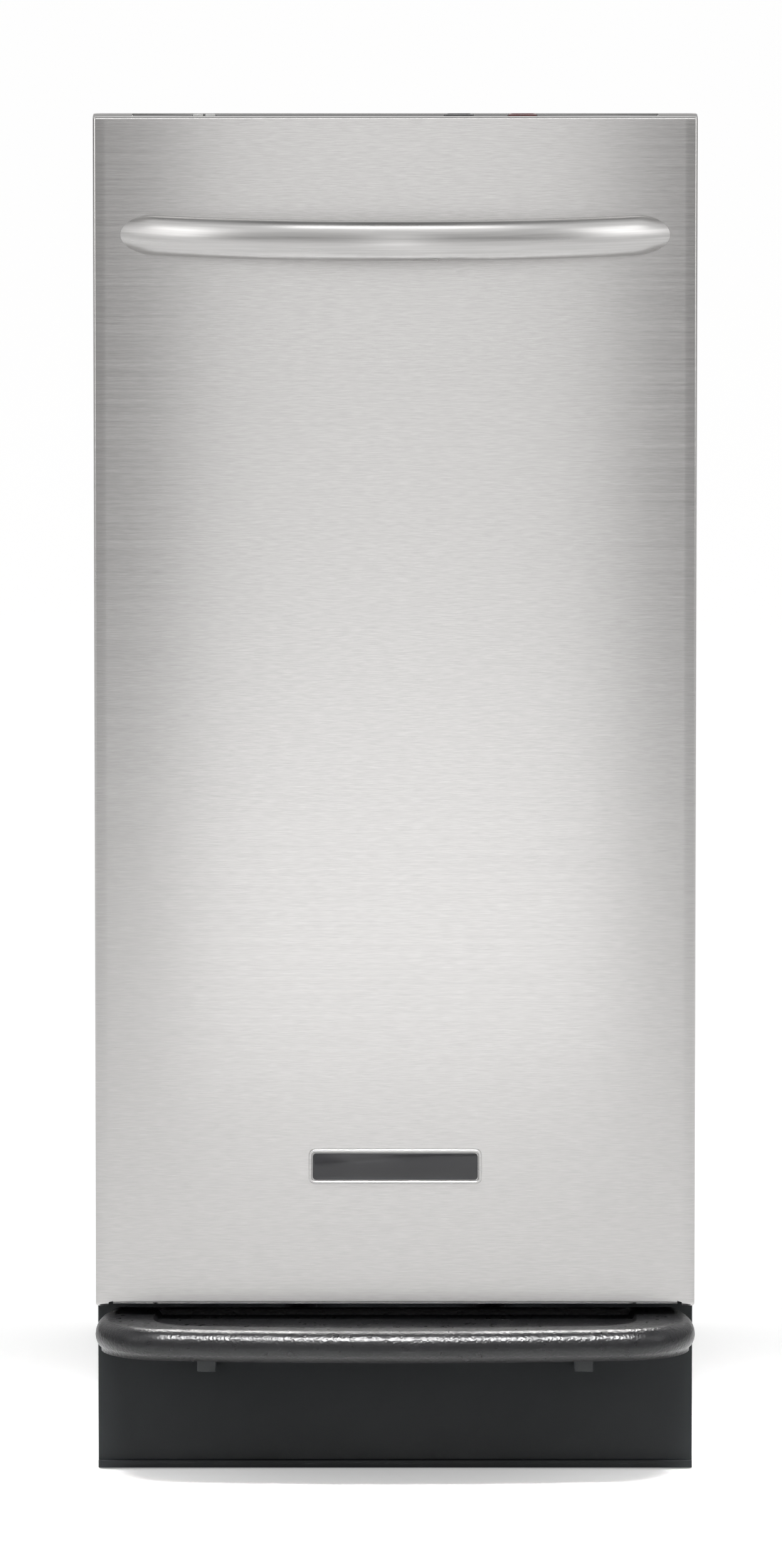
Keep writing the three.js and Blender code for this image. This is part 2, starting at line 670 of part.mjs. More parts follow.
// A sprocket as a star between its root and tip circles, with a round bore.
function sprocket(teeth) {
  const pitch = pitchRadius(teeth);
  const tip = pitch + ROLLER_RADIUS * 0.7;
  const root = pitch - ROLLER_RADIUS - GAP;
  const outline = new THREE.Shape();
  for (let i = 0; i < teeth; i++) {
    const corners = [
      [root, -0.28],
      [tip, -0.1],
      [tip, 0.1],
      [root, 0.28],
    ];
    for (const [radius, share] of corners) {
      const angle = ((i + share) / teeth) * Math.PI * 2;
      const point = [radius * Math.cos(angle), radius * Math.sin(angle)];
      if (i === 0 && share === -0.28) outline.moveTo(...point);
      else outline.lineTo(...point);
    }
  }
  outline.closePath();
  outline.holes.push(new THREE.Path().absarc(0, 0, SPROCKET_BORE, 0, Math.PI * 2, true));
  return extruded(outline, 0, SPROCKET_THICK, 10);
}
for (const [name, side] of bothSides) {
  const screw = new THREE.Group();
  screw.position.set(side * screwX, screwY, 0);
  drive.add(screw);
  piece(screw, `${name}_power_screw`, powerScrew(), plainSteel);
  piece(screw, `${name}_thrust_bearing`, thrustBearing(), bronze, 0, 0, chassisUnder - GAP);
  piece(screw, `${name}_screw_sprocket`, sprocket(SCREW_TEETH), plainSteel, 0, 0, sprocketZ);
}

// Belt and chain: closed loops drawn tight around circles that are listed anticlockwise from above.
function loopOutline(OutlineType, circles) {
  const normals = circles.map((circle, i) => {
    const next = circles[(i + 1) % circles.length];
    const dx = next.x - circle.x;
    const dy = next.y - circle.y;
    return Math.atan2(dy, dx) - Math.acos((circle.radius - next.radius) / Math.hypot(dx, dy));
  });
  const outline = new OutlineType();
  circles.forEach(({ x, y, radius }, i) => {
    const arriving = normals[(i + circles.length - 1) % circles.length];
    outline.absarc(x, y, radius, arriving, normals[i], false);
  });
  outline.closePath();
  return outline;
}

function band(circles, clearance, thickness, from, to) {
  const grown = (by) => circles.map((circle) => ({ ...circle, radius: circle.radius + by }));
  const outline = loopOutline(THREE.Shape, grown(clearance + thickness));
  outline.holes.push(loopOutline(THREE.Path, grown(clearance)));
  return extruded(outline, from, to, 24);
}

const chainCircles = [
  { x: -screwX, y: screwY, radius: pitchRadius(SCREW_TEETH) + tipAdd },
  { x: screwX, y: screwY, radius: pitchRadius(SCREW_TEETH) + tipAdd },
  { x: driveX, y: driveY, radius: pitchRadius(DRIVE_TEETH) + tipAdd },
];
const chainBottom = sprocketZ + SPROCKET_THICK / 2 - CHAIN_TALL / 2;
const chain = band(chainCircles, GAP, CHAIN_THICK, chainBottom, chainBottom + CHAIN_TALL);
piece(drive, 'roller_chain', chain, plainSteel);

const beltCircles = [
  { x: driveX, y: driveY, radius: DRIVE_PULLEY_RADIUS },
  { x: motorX, y: motorY, radius: MOTOR_PULLEY_RADIUS },
];
const belt = band(beltCircles, GAP, BELT_THICK, pulleyZ + 2, pulleyZ + PULLEY_TALL - 2);
piece(drive, 'drive_belt', belt, rubber);

// Jackshaft: a short shaft under the deck with the large pulley and the small sprocket, held at its foot
// by a strap that hangs from the deck.
function pulley(radius, bore, rim) {
  const hub = bore + 5;
  return turned(
    [
      [bore, 0],
      [hub, 0],
      [hub, 3],
      [radius - rim, 3],
      [radius - rim, 0],
      [radius, 0],
      [radius, PULLEY_TALL],
      [radius - rim, PULLEY_TALL],
      [radius - rim, PULLEY_TALL - 3],
      [hub, PULLEY_TALL - 3],
      [hub, PULLEY_TALL],
      [bore, PULLEY_TALL],
    ],
    FINE_SIDES,
  );
}

function driveStrap() {
  const reach = DRIVE_PULLEY_RADIUS + BELT_THICK + 6;
  const top = chassisUnder - GAP;
  const end = reach + STRAP_THICK;
  const pieces = [box(-STRAP_HALF, STRAP_HALF, -end, end, strapZ - STRAP_THICK, strapZ)];
  for (const edge of [-1, 1]) {
    const inner = edge * reach;
    const outer = edge * (reach + STRAP_THICK);
    pieces.push(box(-STRAP_HALF, STRAP_HALF, inner, outer, strapZ - STRAP_THICK, top));
  }
  return cut(join(...pieces), round('z', DRIVE_SHAFT_RADIUS + RUNNING, 0, strapZ + 5));
}
const jackshaft = new THREE.Group();
jackshaft.position.set(driveX, driveY, 0);
drive.add(jackshaft);
piece(jackshaft, 'drive_strap', driveStrap(), galvanised);
const driveShaft = round('z', DRIVE_SHAFT_RADIUS, strapZ - STRAP_THICK - 3, CHASSIS_TOP + 6);
piece(jackshaft, 'drive_shaft', driveShaft, plainSteel);
piece(jackshaft, 'drive_sprocket', sprocket(DRIVE_TEETH), plainSteel, 0, 0, sprocketZ);
const drivePulley = pulley(DRIVE_PULLEY_RADIUS, DRIVE_SHAFT_RADIUS + GAP, 4);
piece(jackshaft, 'drive_pulley', drivePulley, blackPlastic, 0, 0, pulleyZ);

// Motor: an upright motor with a square foot on the deck, its shaft pointing down to a small pulley.
function motorHousing() {
  const foot = MOTOR_RADIUS + MOTOR_FOOT_EDGE;
  const body = turned(
    [
      [0, MOTOR_FOOT - 1],
      [MOTOR_RADIUS - 4, MOTOR_FOOT - 1],
      [MOTOR_RADIUS, MOTOR_FOOT + 10],
      [MOTOR_RADIUS, MOTOR_TALL - 12],
      [MOTOR_RADIUS - 8, MOTOR_TALL],
      [0, MOTOR_TALL],
    ],
    FINE_SIDES,
  );
  const bore = round('z', SHAFT_RADIUS + RUNNING, -1, MOTOR_BORE);
  return cut(join(box(-foot, foot, -foot, foot, 0, MOTOR_FOOT), body), bore);
}
const motor = new THREE.Group();
motor.position.set(motorX, motorY, 0);
drive.add(motor);
piece(motor, 'motor_housing', motorHousing(), blackSteel, 0, 0, CHASSIS_TOP + GAP);
const motorShaft = round('z', SHAFT_RADIUS, pulleyZ - 3, CHASSIS_TOP + MOTOR_BORE - 4);
piece(motor, 'motor_shaft', motorShaft, plainSteel);
const motorPulley = turned([
  [SHAFT_RADIUS + GAP, 0],
  [MOTOR_PULLEY_RADIUS, 0],
  [MOTOR_PULLEY_RADIUS, PULLEY_TALL],
  [SHAFT_RADIUS + GAP, PULLEY_TALL],
]);
piece(motor, 'motor_pulley', motorPulley, plainSteel, 0, 0, pulleyZ);

// Ram: a flat plate under an open steel box, hung from a crosshead that spans both power screws.
const ramMiddle = (ramFront + ramBack) / 2;
const crossheadBottom = crossheadTop - CROSSHEAD_SHEET - CROSSHEAD_TALL;
const boxBottom = ramBottom + RAM_PLATE + GAP;
const boxTop = crossheadTop - CROSSHEAD_SHEET - GAP;

function ramBox() {
  const side = ramHalf - RAM_INSET;
  const front = ramFront + RAM_INSET;
  const back = ramBack - RAM_INSET;
  const shell = cut(
    box(-side, side, front, back, boxBottom, boxTop),
    box(
      -side + RAM_SHEET,
      side - RAM_SHEET,
      front + RAM_SHEET,
      back - RAM_SHEET,
      boxBottom + RAM_SHEET,
      boxTop + 1,
    ),
  );
  // the crosshead's folded edges pass through slots in the sides
  const slots = [-1, 1].map((edge) => {
    const outer = ramMiddle + edge * (CROSSHEAD_HALF + GAP);
    const inner = ramMiddle + edge * (CROSSHEAD_HALF - CROSSHEAD_SHEET - GAP);
    return box(-side - 1, side + 1, outer, inner, crossheadBottom - GAP, boxTop + 1);
  });
  return cut(shell, ...slots);
}

function ramPlate() {
  const r = 12;
  const x = ramHalf;
  const outline = new THREE.Shape();
  outline.moveTo(-x + r, ramFront);
  outline.lineTo(x - r, ramFront);
  outline.absarc(x - r, ramFront + r, r, -Math.PI / 2, 0, false);
  outline.absarc(x - r, ramBack - r, r, 0, Math.PI / 2, false);
  outline.absarc(-x + r, ramBack - r, r, Math.PI / 2, Math.PI, false);
  outline.absarc(-x + r, ramFront + r, r, Math.PI, Math.PI * 1.5, false);
  return extruded(outline, ramBottom, ramBottom + RAM_PLATE);
}

function crosshead() {
  const end = screwX + NUT_FLANGE;
  const top = crossheadTop;
  const pieces = [box(-end, end, -CROSSHEAD_HALF, CROSSHEAD_HALF, top - CROSSHEAD_SHEET, top)];
  for (const edge of [-1, 1]) {
    const outer = edge * CROSSHEAD_HALF;
    pieces.push(box(-end, end, outer, outer - edge * CROSSHEAD_SHEET, crossheadBottom, top));
  }
  const bore = NUT_RADIUS + GAP;
  const holes = bothSides.map(([, side]) => round('z', bore, top - 10, top + 1, side * screwX, 0));
  return cut(join(...pieces), ...holes);
}

function powerNut() {
  return turned([
    [SCREW_RADIUS + RUNNING, NUT_FLANGE_TALL - NUT_TALL],
    [NUT_RADIUS, NUT_FLANGE_TALL - NUT_TALL],
    [NUT_RADIUS, 0],
    [NUT_FLANGE, 0],
    [NUT_FLANGE, NUT_FLANGE_TALL],
    [SCREW_RADIUS + RUNNING, NUT_FLANGE_TALL],
  ]);
}
piece(ram, 'ram_box', ramBox(), greyPaint);
piece(ram, 'ram_plate', ramPlate(), plainSteel);
piece(ram, 'ram_crosshead', crosshead(), galvanised, 0, ramMiddle, 0);
for (const [name, side] of bothSides) {
  piece(ram, `${name}_power_nut`, powerNut(), bronze, side * screwX, screwY, crossheadTop + GAP);
}

// Door skin: one folded stainless sheet, open at the back, with a slot in its top edge for the console.
const consoleFront = DOOR_DEPTH - CONSOLE_BACK - CONSOLE_DEEP;

function doorSkin() {
  const half = WIDTH / 2;
  return cut(
    box(-half, half, 0, DOOR_DEPTH, doorBottom, HEIGHT),
    box(
      -half + DOOR_SHEET,
      half - DOOR_SHEET,
      DOOR_SHEET,
      DOOR_DEPTH + 1,
      doorBottom + DOOR_SHEET,
      HEIGHT - DOOR_SHEET,
    ),
    box(
      -consoleHalf - GAP,
      consoleHalf + GAP,
      consoleFront - GAP,
      consoleFront + CONSOLE_DEEP + GAP,
      HEIGHT - 5,
      HEIGHT + 1,
    ),
  );
}
piece(door, 'door_skin', doorSkin(), stainless);

// Door liner: a shallow steel pan that closes the back of the skin.
function doorLiner() {
  const half = WIDTH / 2 - DOOR_SHEET - GAP;
  const bottom = doorBottom + DOOR_SHEET + GAP;
  const top = HEIGHT - DOOR_SHEET - GAP - CONSOLE_THICK;
  return cut(
    box(-half, half, DOOR_DEPTH - LINER_LIP, DOOR_DEPTH, bottom, top),
    box(
      -half + CABINET_SHEET,
      half - CABINET_SHEET,
      DOOR_DEPTH - LINER_LIP - 1,
      DOOR_DEPTH - CABINET_SHEET,
      bottom + CABINET_SHEET,
      top - CABINET_SHEET,
    ),
  );
}
piece(door, 'door_liner', doorLiner(), greyPaint);

// Bow handle: an arched bar whose ends run down onto the face of the door and are rounded there.
function bowHandle() {
  const outerRadius = (handleHalf ** 2 + HANDLE_REACH ** 2) / (2 * HANDLE_REACH);
  const middleRadius = outerRadius - HANDLE_DEEP / 2;
  const centreY = outerRadius - HANDLE_REACH;
  const reach = Math.asin(Math.min(1, handleHalf / middleRadius)) + 0.03;
  const points = [];
  for (let i = 0; i <= 24; i++) {
    const angle = -reach + (2 * reach * i) / 24;
    const y = centreY - middleRadius * Math.cos(angle);
    points.push(new THREE.Vector3(middleRadius * Math.sin(angle), y, 0));
  }
  const section = new THREE.Shape().absellipse(0, 0, HANDLE_TALL / 2, HANDLE_DEEP / 2, 0, Math.PI * 2, false);
  const bow = new THREE.ExtrudeGeometry(section, {
    steps: 24,
    bevelEnabled: false,
    curveSegments: 8,
    extrudePath: new THREE.CatmullRomCurve3(points),
  });
  const face = new THREE.Shape();
  const straight = handleHalf - HANDLE_TIP;
  const tall = HANDLE_TALL / 2 + 0.01;
  face.moveTo(-straight, -tall);
  face.lineTo(straight, -tall);
  face.absellipse(straight, 0, HANDLE_TIP, tall, -Math.PI / 2, Math.PI / 2, false);
  face.absellipse(-straight, 0, HANDLE_TIP, tall, Math.PI / 2, Math.PI * 1.5, false);
  const front = extruded(face, GAP, HANDLE_REACH + 5, 8).rotateX(Math.PI / 2);
  return overlapOf(bow, front);
}
piece(door, 'bow_handle', bowHandle(), stainless, 0, 0, handleZ);

// Nameplate: a blank plate with rounded corners, low on the door.
function nameplate() {
  const x = PLATE_WIDTH / 2;
  const z = PLATE_HEIGHT / 2;
  const r = PLATE_CORNER;
  const outline = new THREE.Shape();
  outline.moveTo(-x + r, -z);
  outline.lineTo(x - r, -z);
  outline.absarc(x - r, -z + r, r, -Math.PI / 2, 0, false);
  outline.absarc(x - r, z - r, r, 0, Math.PI / 2, false);
  outline.absarc(-x + r, z - r, r, Math.PI / 2, Math.PI, false);
  outline.absarc(-x + r, -z + r, r, Math.PI, Math.PI * 1.5, false);
  return extruded(outline, GAP, GAP + PLATE_THICK).rotateX(Math.PI / 2);
}
piece(door, 'nameplate', nameplate(), blackGloss, 0, 0, doorBottom + PLATE_RISE);

// Console: a strip let into the top edge of the door, with two push buttons and a keyed knob in wells.
const consoleMiddle = consoleFront + CONSOLE_DEEP / 2;
const consoleTop = HEIGHT - GAP;
const wellBottom = consoleTop - BUTTON_TALL - GAP;
const buttonPlaces = [
  ['start_button', BUTTON_SPACING],
  ['stop_button', BUTTON_SPACING * 2],
];

function consoleStrip() {
  const wells = buttonPlaces.map(([, x]) =>
    box(
      x - BUTTON_WIDTH / 2 - GAP,
      x + BUTTON_WIDTH / 2 + GAP,
      consoleMiddle - BUTTON_DEEP / 2 - GAP,
      consoleMiddle + BUTTON_DEEP / 2 + GAP,
      wellBottom - 1.5,
      consoleTop + 1,
    ),
  );
  const stem = round('z', KNOB_STEM + RUNNING, consoleTop - KNOB_TALL - 1, consoleTop, knobX, consoleMiddle);
  const well = round('z', KNOB_RADIUS + GAP, consoleTop - KNOB_WELL, consoleTop + 1, knobX, consoleMiddle);
  return cut(
    box(
      -consoleHalf,
      consoleHalf,
      consoleFront,
      consoleFront + CONSOLE_DEEP,
      consoleTop - CONSOLE_THICK,
      consoleTop,
    ),
    ...wells,
    stem,
    well,
  );
}

function pushButton() {
  return box(
    -BUTTON_WIDTH / 2,
    BUTTON_WIDTH / 2,
    -BUTTON_DEEP / 2,
    BUTTON_DEEP / 2,
    -BUTTON_TALL + BUTTON_PROUD,
    BUTTON_PROUD,
  );
}

function keyKnob() {
  return join(
    round('z', KNOB_RADIUS, GAP - KNOB_WELL, 1.2 - KNOB_WELL),
    box(-KNOB_RADIUS + 1, KNOB_RADIUS - 1, -1.8, 1.8, 1 - KNOB_WELL, BUTTON_PROUD),
    round('z', KNOB_STEM, -KNOB_TALL, 1 - KNOB_WELL),
  );
}
piece(door, 'console_strip', consoleStrip(), blackGloss);
for (const [name, x] of buttonPlaces) {
  const finish = name === 'stop_button' ? redPlastic : blackPlastic;
  piece(door, name, pushButton(), finish, x, consoleMiddle, consoleTop);
}
piece(door, 'key_knob', keyKnob(), plainSteel, knobX, consoleMiddle, consoleTop);

// Drawer tray: a steel floor with upturned sides behind the door. A strike hangs under its front edge for
// the fingers of the pedal.
const trayFront = DOOR_DEPTH + GAP;
const trayBack = binBack + 8;

function drawerTray() {
  const lipTop = trayBottom + TRAY_LIP;
  const pieces = [
    box(-trayHalf, trayHalf, trayFront, trayBack, trayBottom, trayBottom + TRAY_SHEET),
    box(-trayHalf, trayHalf, trayFront, trayFront + TRAY_SHEET, trayBottom, lipTop),
    box(-trayHalf, trayHalf, trayBack - TRAY_SHEET, trayBack, trayBottom, trayBottom + TRAY_LIP / 2),
  ];
  for (const [, side] of bothSides) {
    pieces.push(
      box(side * trayHalf, side * (trayHalf - TRAY_SHEET), trayFront, trayBack, trayBottom, lipTop),
      box(
        side * (FINGER_X - STRIKE_WIDTH / 2),
        side * (FINGER_X + STRIKE_WIDTH / 2),
        trayFront,
        trayFront + TRAY_SHEET,
        toeTop + SLIDING,
        trayBottom + 1,
      ),
    );
  }
  return join(...pieces);
}
piece(drawer, 'drawer_tray', drawerTray(), greyPaint);

// Drawer rails: angles on the sides of the tray. Each rides on the front roller of its track and carries
// a roller of its own at its back end.
const rearRollerRadius = (channelTop - channelBottom) / 2 - GAP;
const rearRollerZ = (channelTop + channelBottom) / 2;
const railBack = trackBack - 2 * rearRollerRadius - 14;
const rearRollerY = railBack + rearRollerRadius + 4;

function drawerRail(side) {
  const inner = side * railX;
  const web = side * (railX + RAIL_SHEET);
  const flange = side * (trackWeb - 2 * SLIDING);
  const bottom = railFlangeTop - RAIL_WEB;
  return join(
    box(inner, web, trayFront + 8, railBack, bottom, railFlangeTop),
    box(inner, flange, trayFront + 8, railBack, railFlangeTop - RAIL_SHEET, railFlangeTop),
    box(inner, web, railBack - 20, rearRollerY + 12, rearRollerZ - 14, rearRollerZ + 14),
    round('x', ROLLER_PIN, inner, side * (rollerOuter - 1), rearRollerY, rearRollerZ),
  );
}
for (const [name, side] of bothSides) {
  piece(drawer, `${name}_drawer_rail`, drawerRail(side), galvanised);
  const roller = trackRoller(side, rearRollerRadius);
  piece(drawer, `${name}_rear_roller`, roller, nylon, side * rollerInner, rearRollerY, rearRollerZ);
}

// Bin: an open tapered box with a rolled rim, which stands in the tray.
function taperedBox(inset, bottom, top) {
  const half = binHalf - inset;
  const long = (binBack - binFront) / 2 - inset;
  const geometry = new THREE.BoxGeometry(2 * half, 2 * long, top - bottom);
  const corners = geometry.attributes.position;
  for (let i = 0; i < corners.count; i++) {
    const depthBelowRim = BIN_TALL / 2 + (bottom + top) / 2 + corners.getZ(i);
    const lean = BIN_TAPER * (1 - depthBelowRim / BIN_TALL);
    corners.setX(i, corners.getX(i) - Math.sign(corners.getX(i)) * lean);
    corners.setY(i, corners.getY(i) - Math.sign(corners.getY(i)) * lean);
  }
  return geometry.translate(0, 0, (bottom + top) / 2);
}

function trashBin() {
  const half = BIN_TALL / 2;
  const long = (binBack - binFront) / 2;
  const rim = box(
    -binHalf - BIN_RIM,
    binHalf + BIN_RIM,
    -long - BIN_RIM,
    long + BIN_RIM,
    half - BIN_RIM_TALL,
    half,
  );
  return cut(join(taperedBox(0, -half, half), rim), taperedBox(BIN_WALL, -half + BIN_WALL, half + 1));
}
piece(drawer, 'trash_bin', trashBin(), binPlastic, 0, (binFront + binBack) / 2, binFloor + BIN_TALL / 2);

// Pedal brackets: lugs on the face of the toe panel, each with a pin for the pedal.
function pedalLug() {
  const back = toeFace - hingeY - GAP;
  return cut(
    box(-LUG_WIDTH / 2, LUG_WIDTH / 2, -LUG_REACH, back, -LUG_BELOW, LUG_ABOVE),
    round('x', HINGE_PIN + RUNNING, -LUG_WIDTH, LUG_WIDTH),
  );
}
const earInner = LUG_WIDTH / 2 + RUNNING;
const pinHalf = earInner + EAR_THICK + 3;

for (const [name, side] of bothSides) {
  piece(pedal, `${name}_pedal_bracket`, pedalLug(), blackSteel, side * hingeX, hingeY, hingeZ);
  const pin = round('x', HINGE_PIN, -pinHalf, pinHalf, 0, 0, 16);
  piece(pedal, `${name}_pedal_pin`, pin, plainSteel, side * hingeX, hingeY, hingeZ);
}

// Foot pedal: a round bar bent back at both ends, with a web behind it, ears on the pins and two fingers
// that reach up behind the drawer's strikes.
function footPedal() {
  const webZ = barZ + PEDAL_WEB_RISE;
  const pedalBack = hingeY - PEDAL_BACK;
  const fingerBack = toeFace - RUNNING;
  const fingerFront = fingerBack - FINGER_THICK;
  const end = WIDTH / 2 - PEDAL_BAR;
  const straight = end - PEDAL_CORNER;
  const front = -PEDAL_REACH + PEDAL_BAR;
  const points = [];
  const bowAt = (x) => -PEDAL_BOW * (1 - (x / straight) ** 2);
  for (let i = 0; i <= 3; i++) {
    const turnedIn = PEDAL_TURN_IN * ((3 - i) / 3) ** 2;
    points.push([-end + turnedIn, pedalBack + ((front + PEDAL_CORNER - pedalBack) * i) / 4]);
  }
  for (let i = 0; i <= 6; i++) {
    const angle = (Math.PI / 12) * i;
    points.push([-straight - PEDAL_CORNER * Math.cos(angle), front + PEDAL_CORNER * (1 - Math.sin(angle))]);
  }
  for (let i = 1; i < 10; i++) {
    const x = -straight + (2 * straight * i) / 10;
    points.push([x, front + bowAt(x)]);
  }
  const mirrored = points.slice(0, 11).map(([x, y]) => [-x, y]);
  const path = [...points, ...mirrored.reverse()].map(([x, y]) => new THREE.Vector3(x, y, barZ));
  const bar = new THREE.ExtrudeGeometry(new THREE.Shape().absarc(0, 0, PEDAL_BAR, 0, Math.PI * 2, false), {
    steps: 32,
    bevelEnabled: false,
    curveSegments: 6,
    extrudePath: new THREE.CatmullRomCurve3(path, false, 'centripetal'),
  });
  const web = box(-end, end, front, pedalBack, webZ, webZ + PEDAL_WEB);
  const pieces = [bar, web];
  const holes = [];
  for (const [, side] of bothSides) {
    for (const face of [-1, 1]) {
      const inner = side * hingeX + face * earInner;
      const outer = inner + face * EAR_THICK;
      pieces.push(round('x', EAR_RADIUS, inner, outer, hingeY, hingeZ));
      pieces.push(box(inner, outer, hingeY - 22, hingeY - 2, hingeZ - 2, webZ + 1));
    }
    holes.push(round('x', HINGE_PIN + RUNNING, side * hingeX - 30, side * hingeX + 30, hingeY, hingeZ));
    const fingerX = side * FINGER_X;
    const arm = box(
      fingerX - FINGER_WIDTH / 2,
      fingerX + FINGER_WIDTH / 2,
      pedalBack - 4,
      fingerBack,
      webZ,
      webZ + PEDAL_WEB,
    );
    const finger = box(
      fingerX - FINGER_WIDTH / 2,
      fingerX + FINGER_WIDTH / 2,
      fingerFront,
      fingerBack,
      webZ,
      trayBottom - FINGER_TO_TRAY,
    );
    pieces.push(arm, finger);
  }
  return cut(join(...pieces), ...holes).translate(0, -hingeY, -hingeZ);
}
piece(pedal, 'foot_pedal', footPedal(), blackPlastic, 0, hingeY, hingeZ);

// Pedal spring: a coil around the outer end of the left pin that lifts the pedal after each press.
const springStart = earInner + EAR_THICK + GAP;
const springRing = turned([
  [HINGE_PIN + RUNNING, 0],
  [HINGE_PIN + RUNNING + SPRING_WALL, 0],
  [HINGE_PIN + RUNNING + SPRING_WALL, SPRING_WIDTH],
  [HINGE_PIN + RUNNING, SPRING_WIDTH],
]).rotateY(-Math.PI / 2);
piece(pedal, 'pedal_spring', springRing, plainSteel, -hingeX - springStart, hingeY, hingeZ);

// The origin sits on the floor, under the middle of the whole object.
const extent = new THREE.Box3().setFromObject(compactor);
compactor.position.y = -(extent.min.y + extent.max.y) / 2;

export default compactor;
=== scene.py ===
"""Trash compactor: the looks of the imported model, piece by piece, in metres."""

import math

import bmesh
import bpy
from mathutils import Matrix, Vector


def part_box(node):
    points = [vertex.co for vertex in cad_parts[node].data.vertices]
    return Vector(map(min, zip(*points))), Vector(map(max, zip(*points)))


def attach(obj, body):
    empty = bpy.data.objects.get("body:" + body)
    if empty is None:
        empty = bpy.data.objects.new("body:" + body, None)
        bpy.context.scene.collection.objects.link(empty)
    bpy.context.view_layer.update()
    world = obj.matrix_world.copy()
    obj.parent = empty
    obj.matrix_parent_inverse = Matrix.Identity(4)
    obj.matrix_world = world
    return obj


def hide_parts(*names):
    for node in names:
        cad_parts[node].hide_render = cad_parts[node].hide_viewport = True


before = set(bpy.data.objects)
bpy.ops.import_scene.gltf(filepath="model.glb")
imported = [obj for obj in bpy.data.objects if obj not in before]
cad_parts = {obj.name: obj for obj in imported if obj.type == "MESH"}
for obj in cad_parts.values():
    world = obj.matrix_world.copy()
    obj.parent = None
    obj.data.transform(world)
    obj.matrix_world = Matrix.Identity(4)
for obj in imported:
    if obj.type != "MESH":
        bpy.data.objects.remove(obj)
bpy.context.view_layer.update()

# Studio
# A pale seamless floor, a large soft light over the camera, a tall softer one on each side and a light
# from behind. The camera looks a little down at the front of the door from far away.
door_low, door_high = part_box("door_skin")

camera_data = bpy.data.cameras.new("camera")
camera_data.lens = 291.34
camera_data.sensor_width = 36
camera_data.clip_end = 60
camera = bpy.data.objects.new("camera", camera_data)
camera_pitch = math.radians(6.8)
camera_distance = 8.0
aim = Vector((-0.00267, door_low.y, door_low.z + 0.333))
camera.location = aim + camera_distance * Vector((0, -math.cos(camera_pitch), math.sin(camera_pitch)))
camera.rotation_euler = (math.pi / 2 - camera_pitch, 0, 0)
bpy.context.scene.collection.objects.link(camera)
bpy.context.scene.camera = camera
bpy.context.scene.view_settings.view_transform = "Standard"

floor_mesh = bpy.data.meshes.new("studio_floor")
floor_bm = bmesh.new()
bmesh.ops.create_grid(floor_bm, x_segments=1, y_segments=1, size=60)
floor_bm.to_mesh(floor_mesh)
floor_bm.free()
studio_floor = bpy.data.objects.new("studio_floor", floor_mesh)
bpy.context.scene.collection.objects.link(studio_floor)
floor_paint = bpy.data.materials.new("floor_paint")
floor_paint.use_nodes = True
floor_shader = floor_paint.node_tree.nodes["Principled BSDF"]
floor_shader.inputs["Base Color"].default_value = (0.86, 0.86, 0.86, 1)
floor_shader.inputs["Roughness"].default_value = 0.9
floor_shader.inputs["Specular IOR Level"].default_value = 0.1
floor_shader.inputs["Emission Color"].default_value = (1, 1, 1, 1)
floor_shader.inputs["Emission Strength"].default_value = 0.32
floor_mesh.materials.append(floor_paint)

studio_sky = bpy.data.worlds.new("studio_sky")
studio_sky.use_nodes = True
bpy.context.scene.world = studio_sky
sky_nodes = studio_sky.node_tree.nodes
sky_links = studio_sky.node_tree.links
sky_light = sky_nodes["Background"]
sky_light.inputs["Strength"].default_value = 1.0
sky_place = sky_nodes.new("ShaderNodeTexCoord")
sky_height = sky_nodes.new("ShaderNodeSeparateXYZ")
sky_fade = sky_nodes.new("ShaderNodeValToRGB")
sky_fade.color_ramp.elements[0].position = 0.02
sky_fade.color_ramp.elements[0].color = (0.30, 0.296, 0.292, 1)
sky_fade.color_ramp.elements[1].position = 0.75
sky_fade.color_ramp.elements[1].color = (1.25, 1.25, 1.25, 1)
sky_zenith = sky_fade.color_ramp.elements.new(0.95)
sky_zenith.color = (0.2, 0.2, 0.2, 1)
sky_links.new(sky_place.outputs["Generated"], sky_height.inputs["Vector"])
sky_links.new(sky_height.outputs["Z"], sky_fade.inputs["Fac"])
sky_links.new(sky_fade.outputs["Color"], sky_light.inputs["Color"])
sky_seen = sky_nodes.new("ShaderNodeBackground")
sky_seen.inputs["Color"].default_value = (1, 1, 1, 1)
sky_seen.inputs["Strength"].default_value = 1.05
sky_ray = sky_nodes.new("ShaderNodeLightPath")
sky_mix = sky_nodes.new("ShaderNodeMixShader")
sky_links.new(sky_ray.outputs["Is Camera Ray"], sky_mix.inputs["Fac"])
sky_links.new(sky_light.outputs["Background"], sky_mix.inputs[1])
sky_links.new(sky_seen.outputs["Background"], sky_mix.inputs[2])
sky_links.new(sky_mix.outputs["Shader"], sky_nodes["World Output"].inputs["Surface"])


def soft_light(name, place, target, width, height, power):
    """A rectangular soft light at place that faces target."""
    data = bpy.data.lights.new(name, "AREA")
    data.shape = "RECTANGLE"
    data.size = width
    data.size_y = height
    data.energy = power
    light = bpy.data.objects.new(name, data)
    light.location = place
    light.rotation_euler = (Vector(target) - Vector(place)).to_track_quat("-Z", "Y").to_euler()
    light.visible_camera = False
    bpy.context.scene.collection.objects.link(light)
    return light


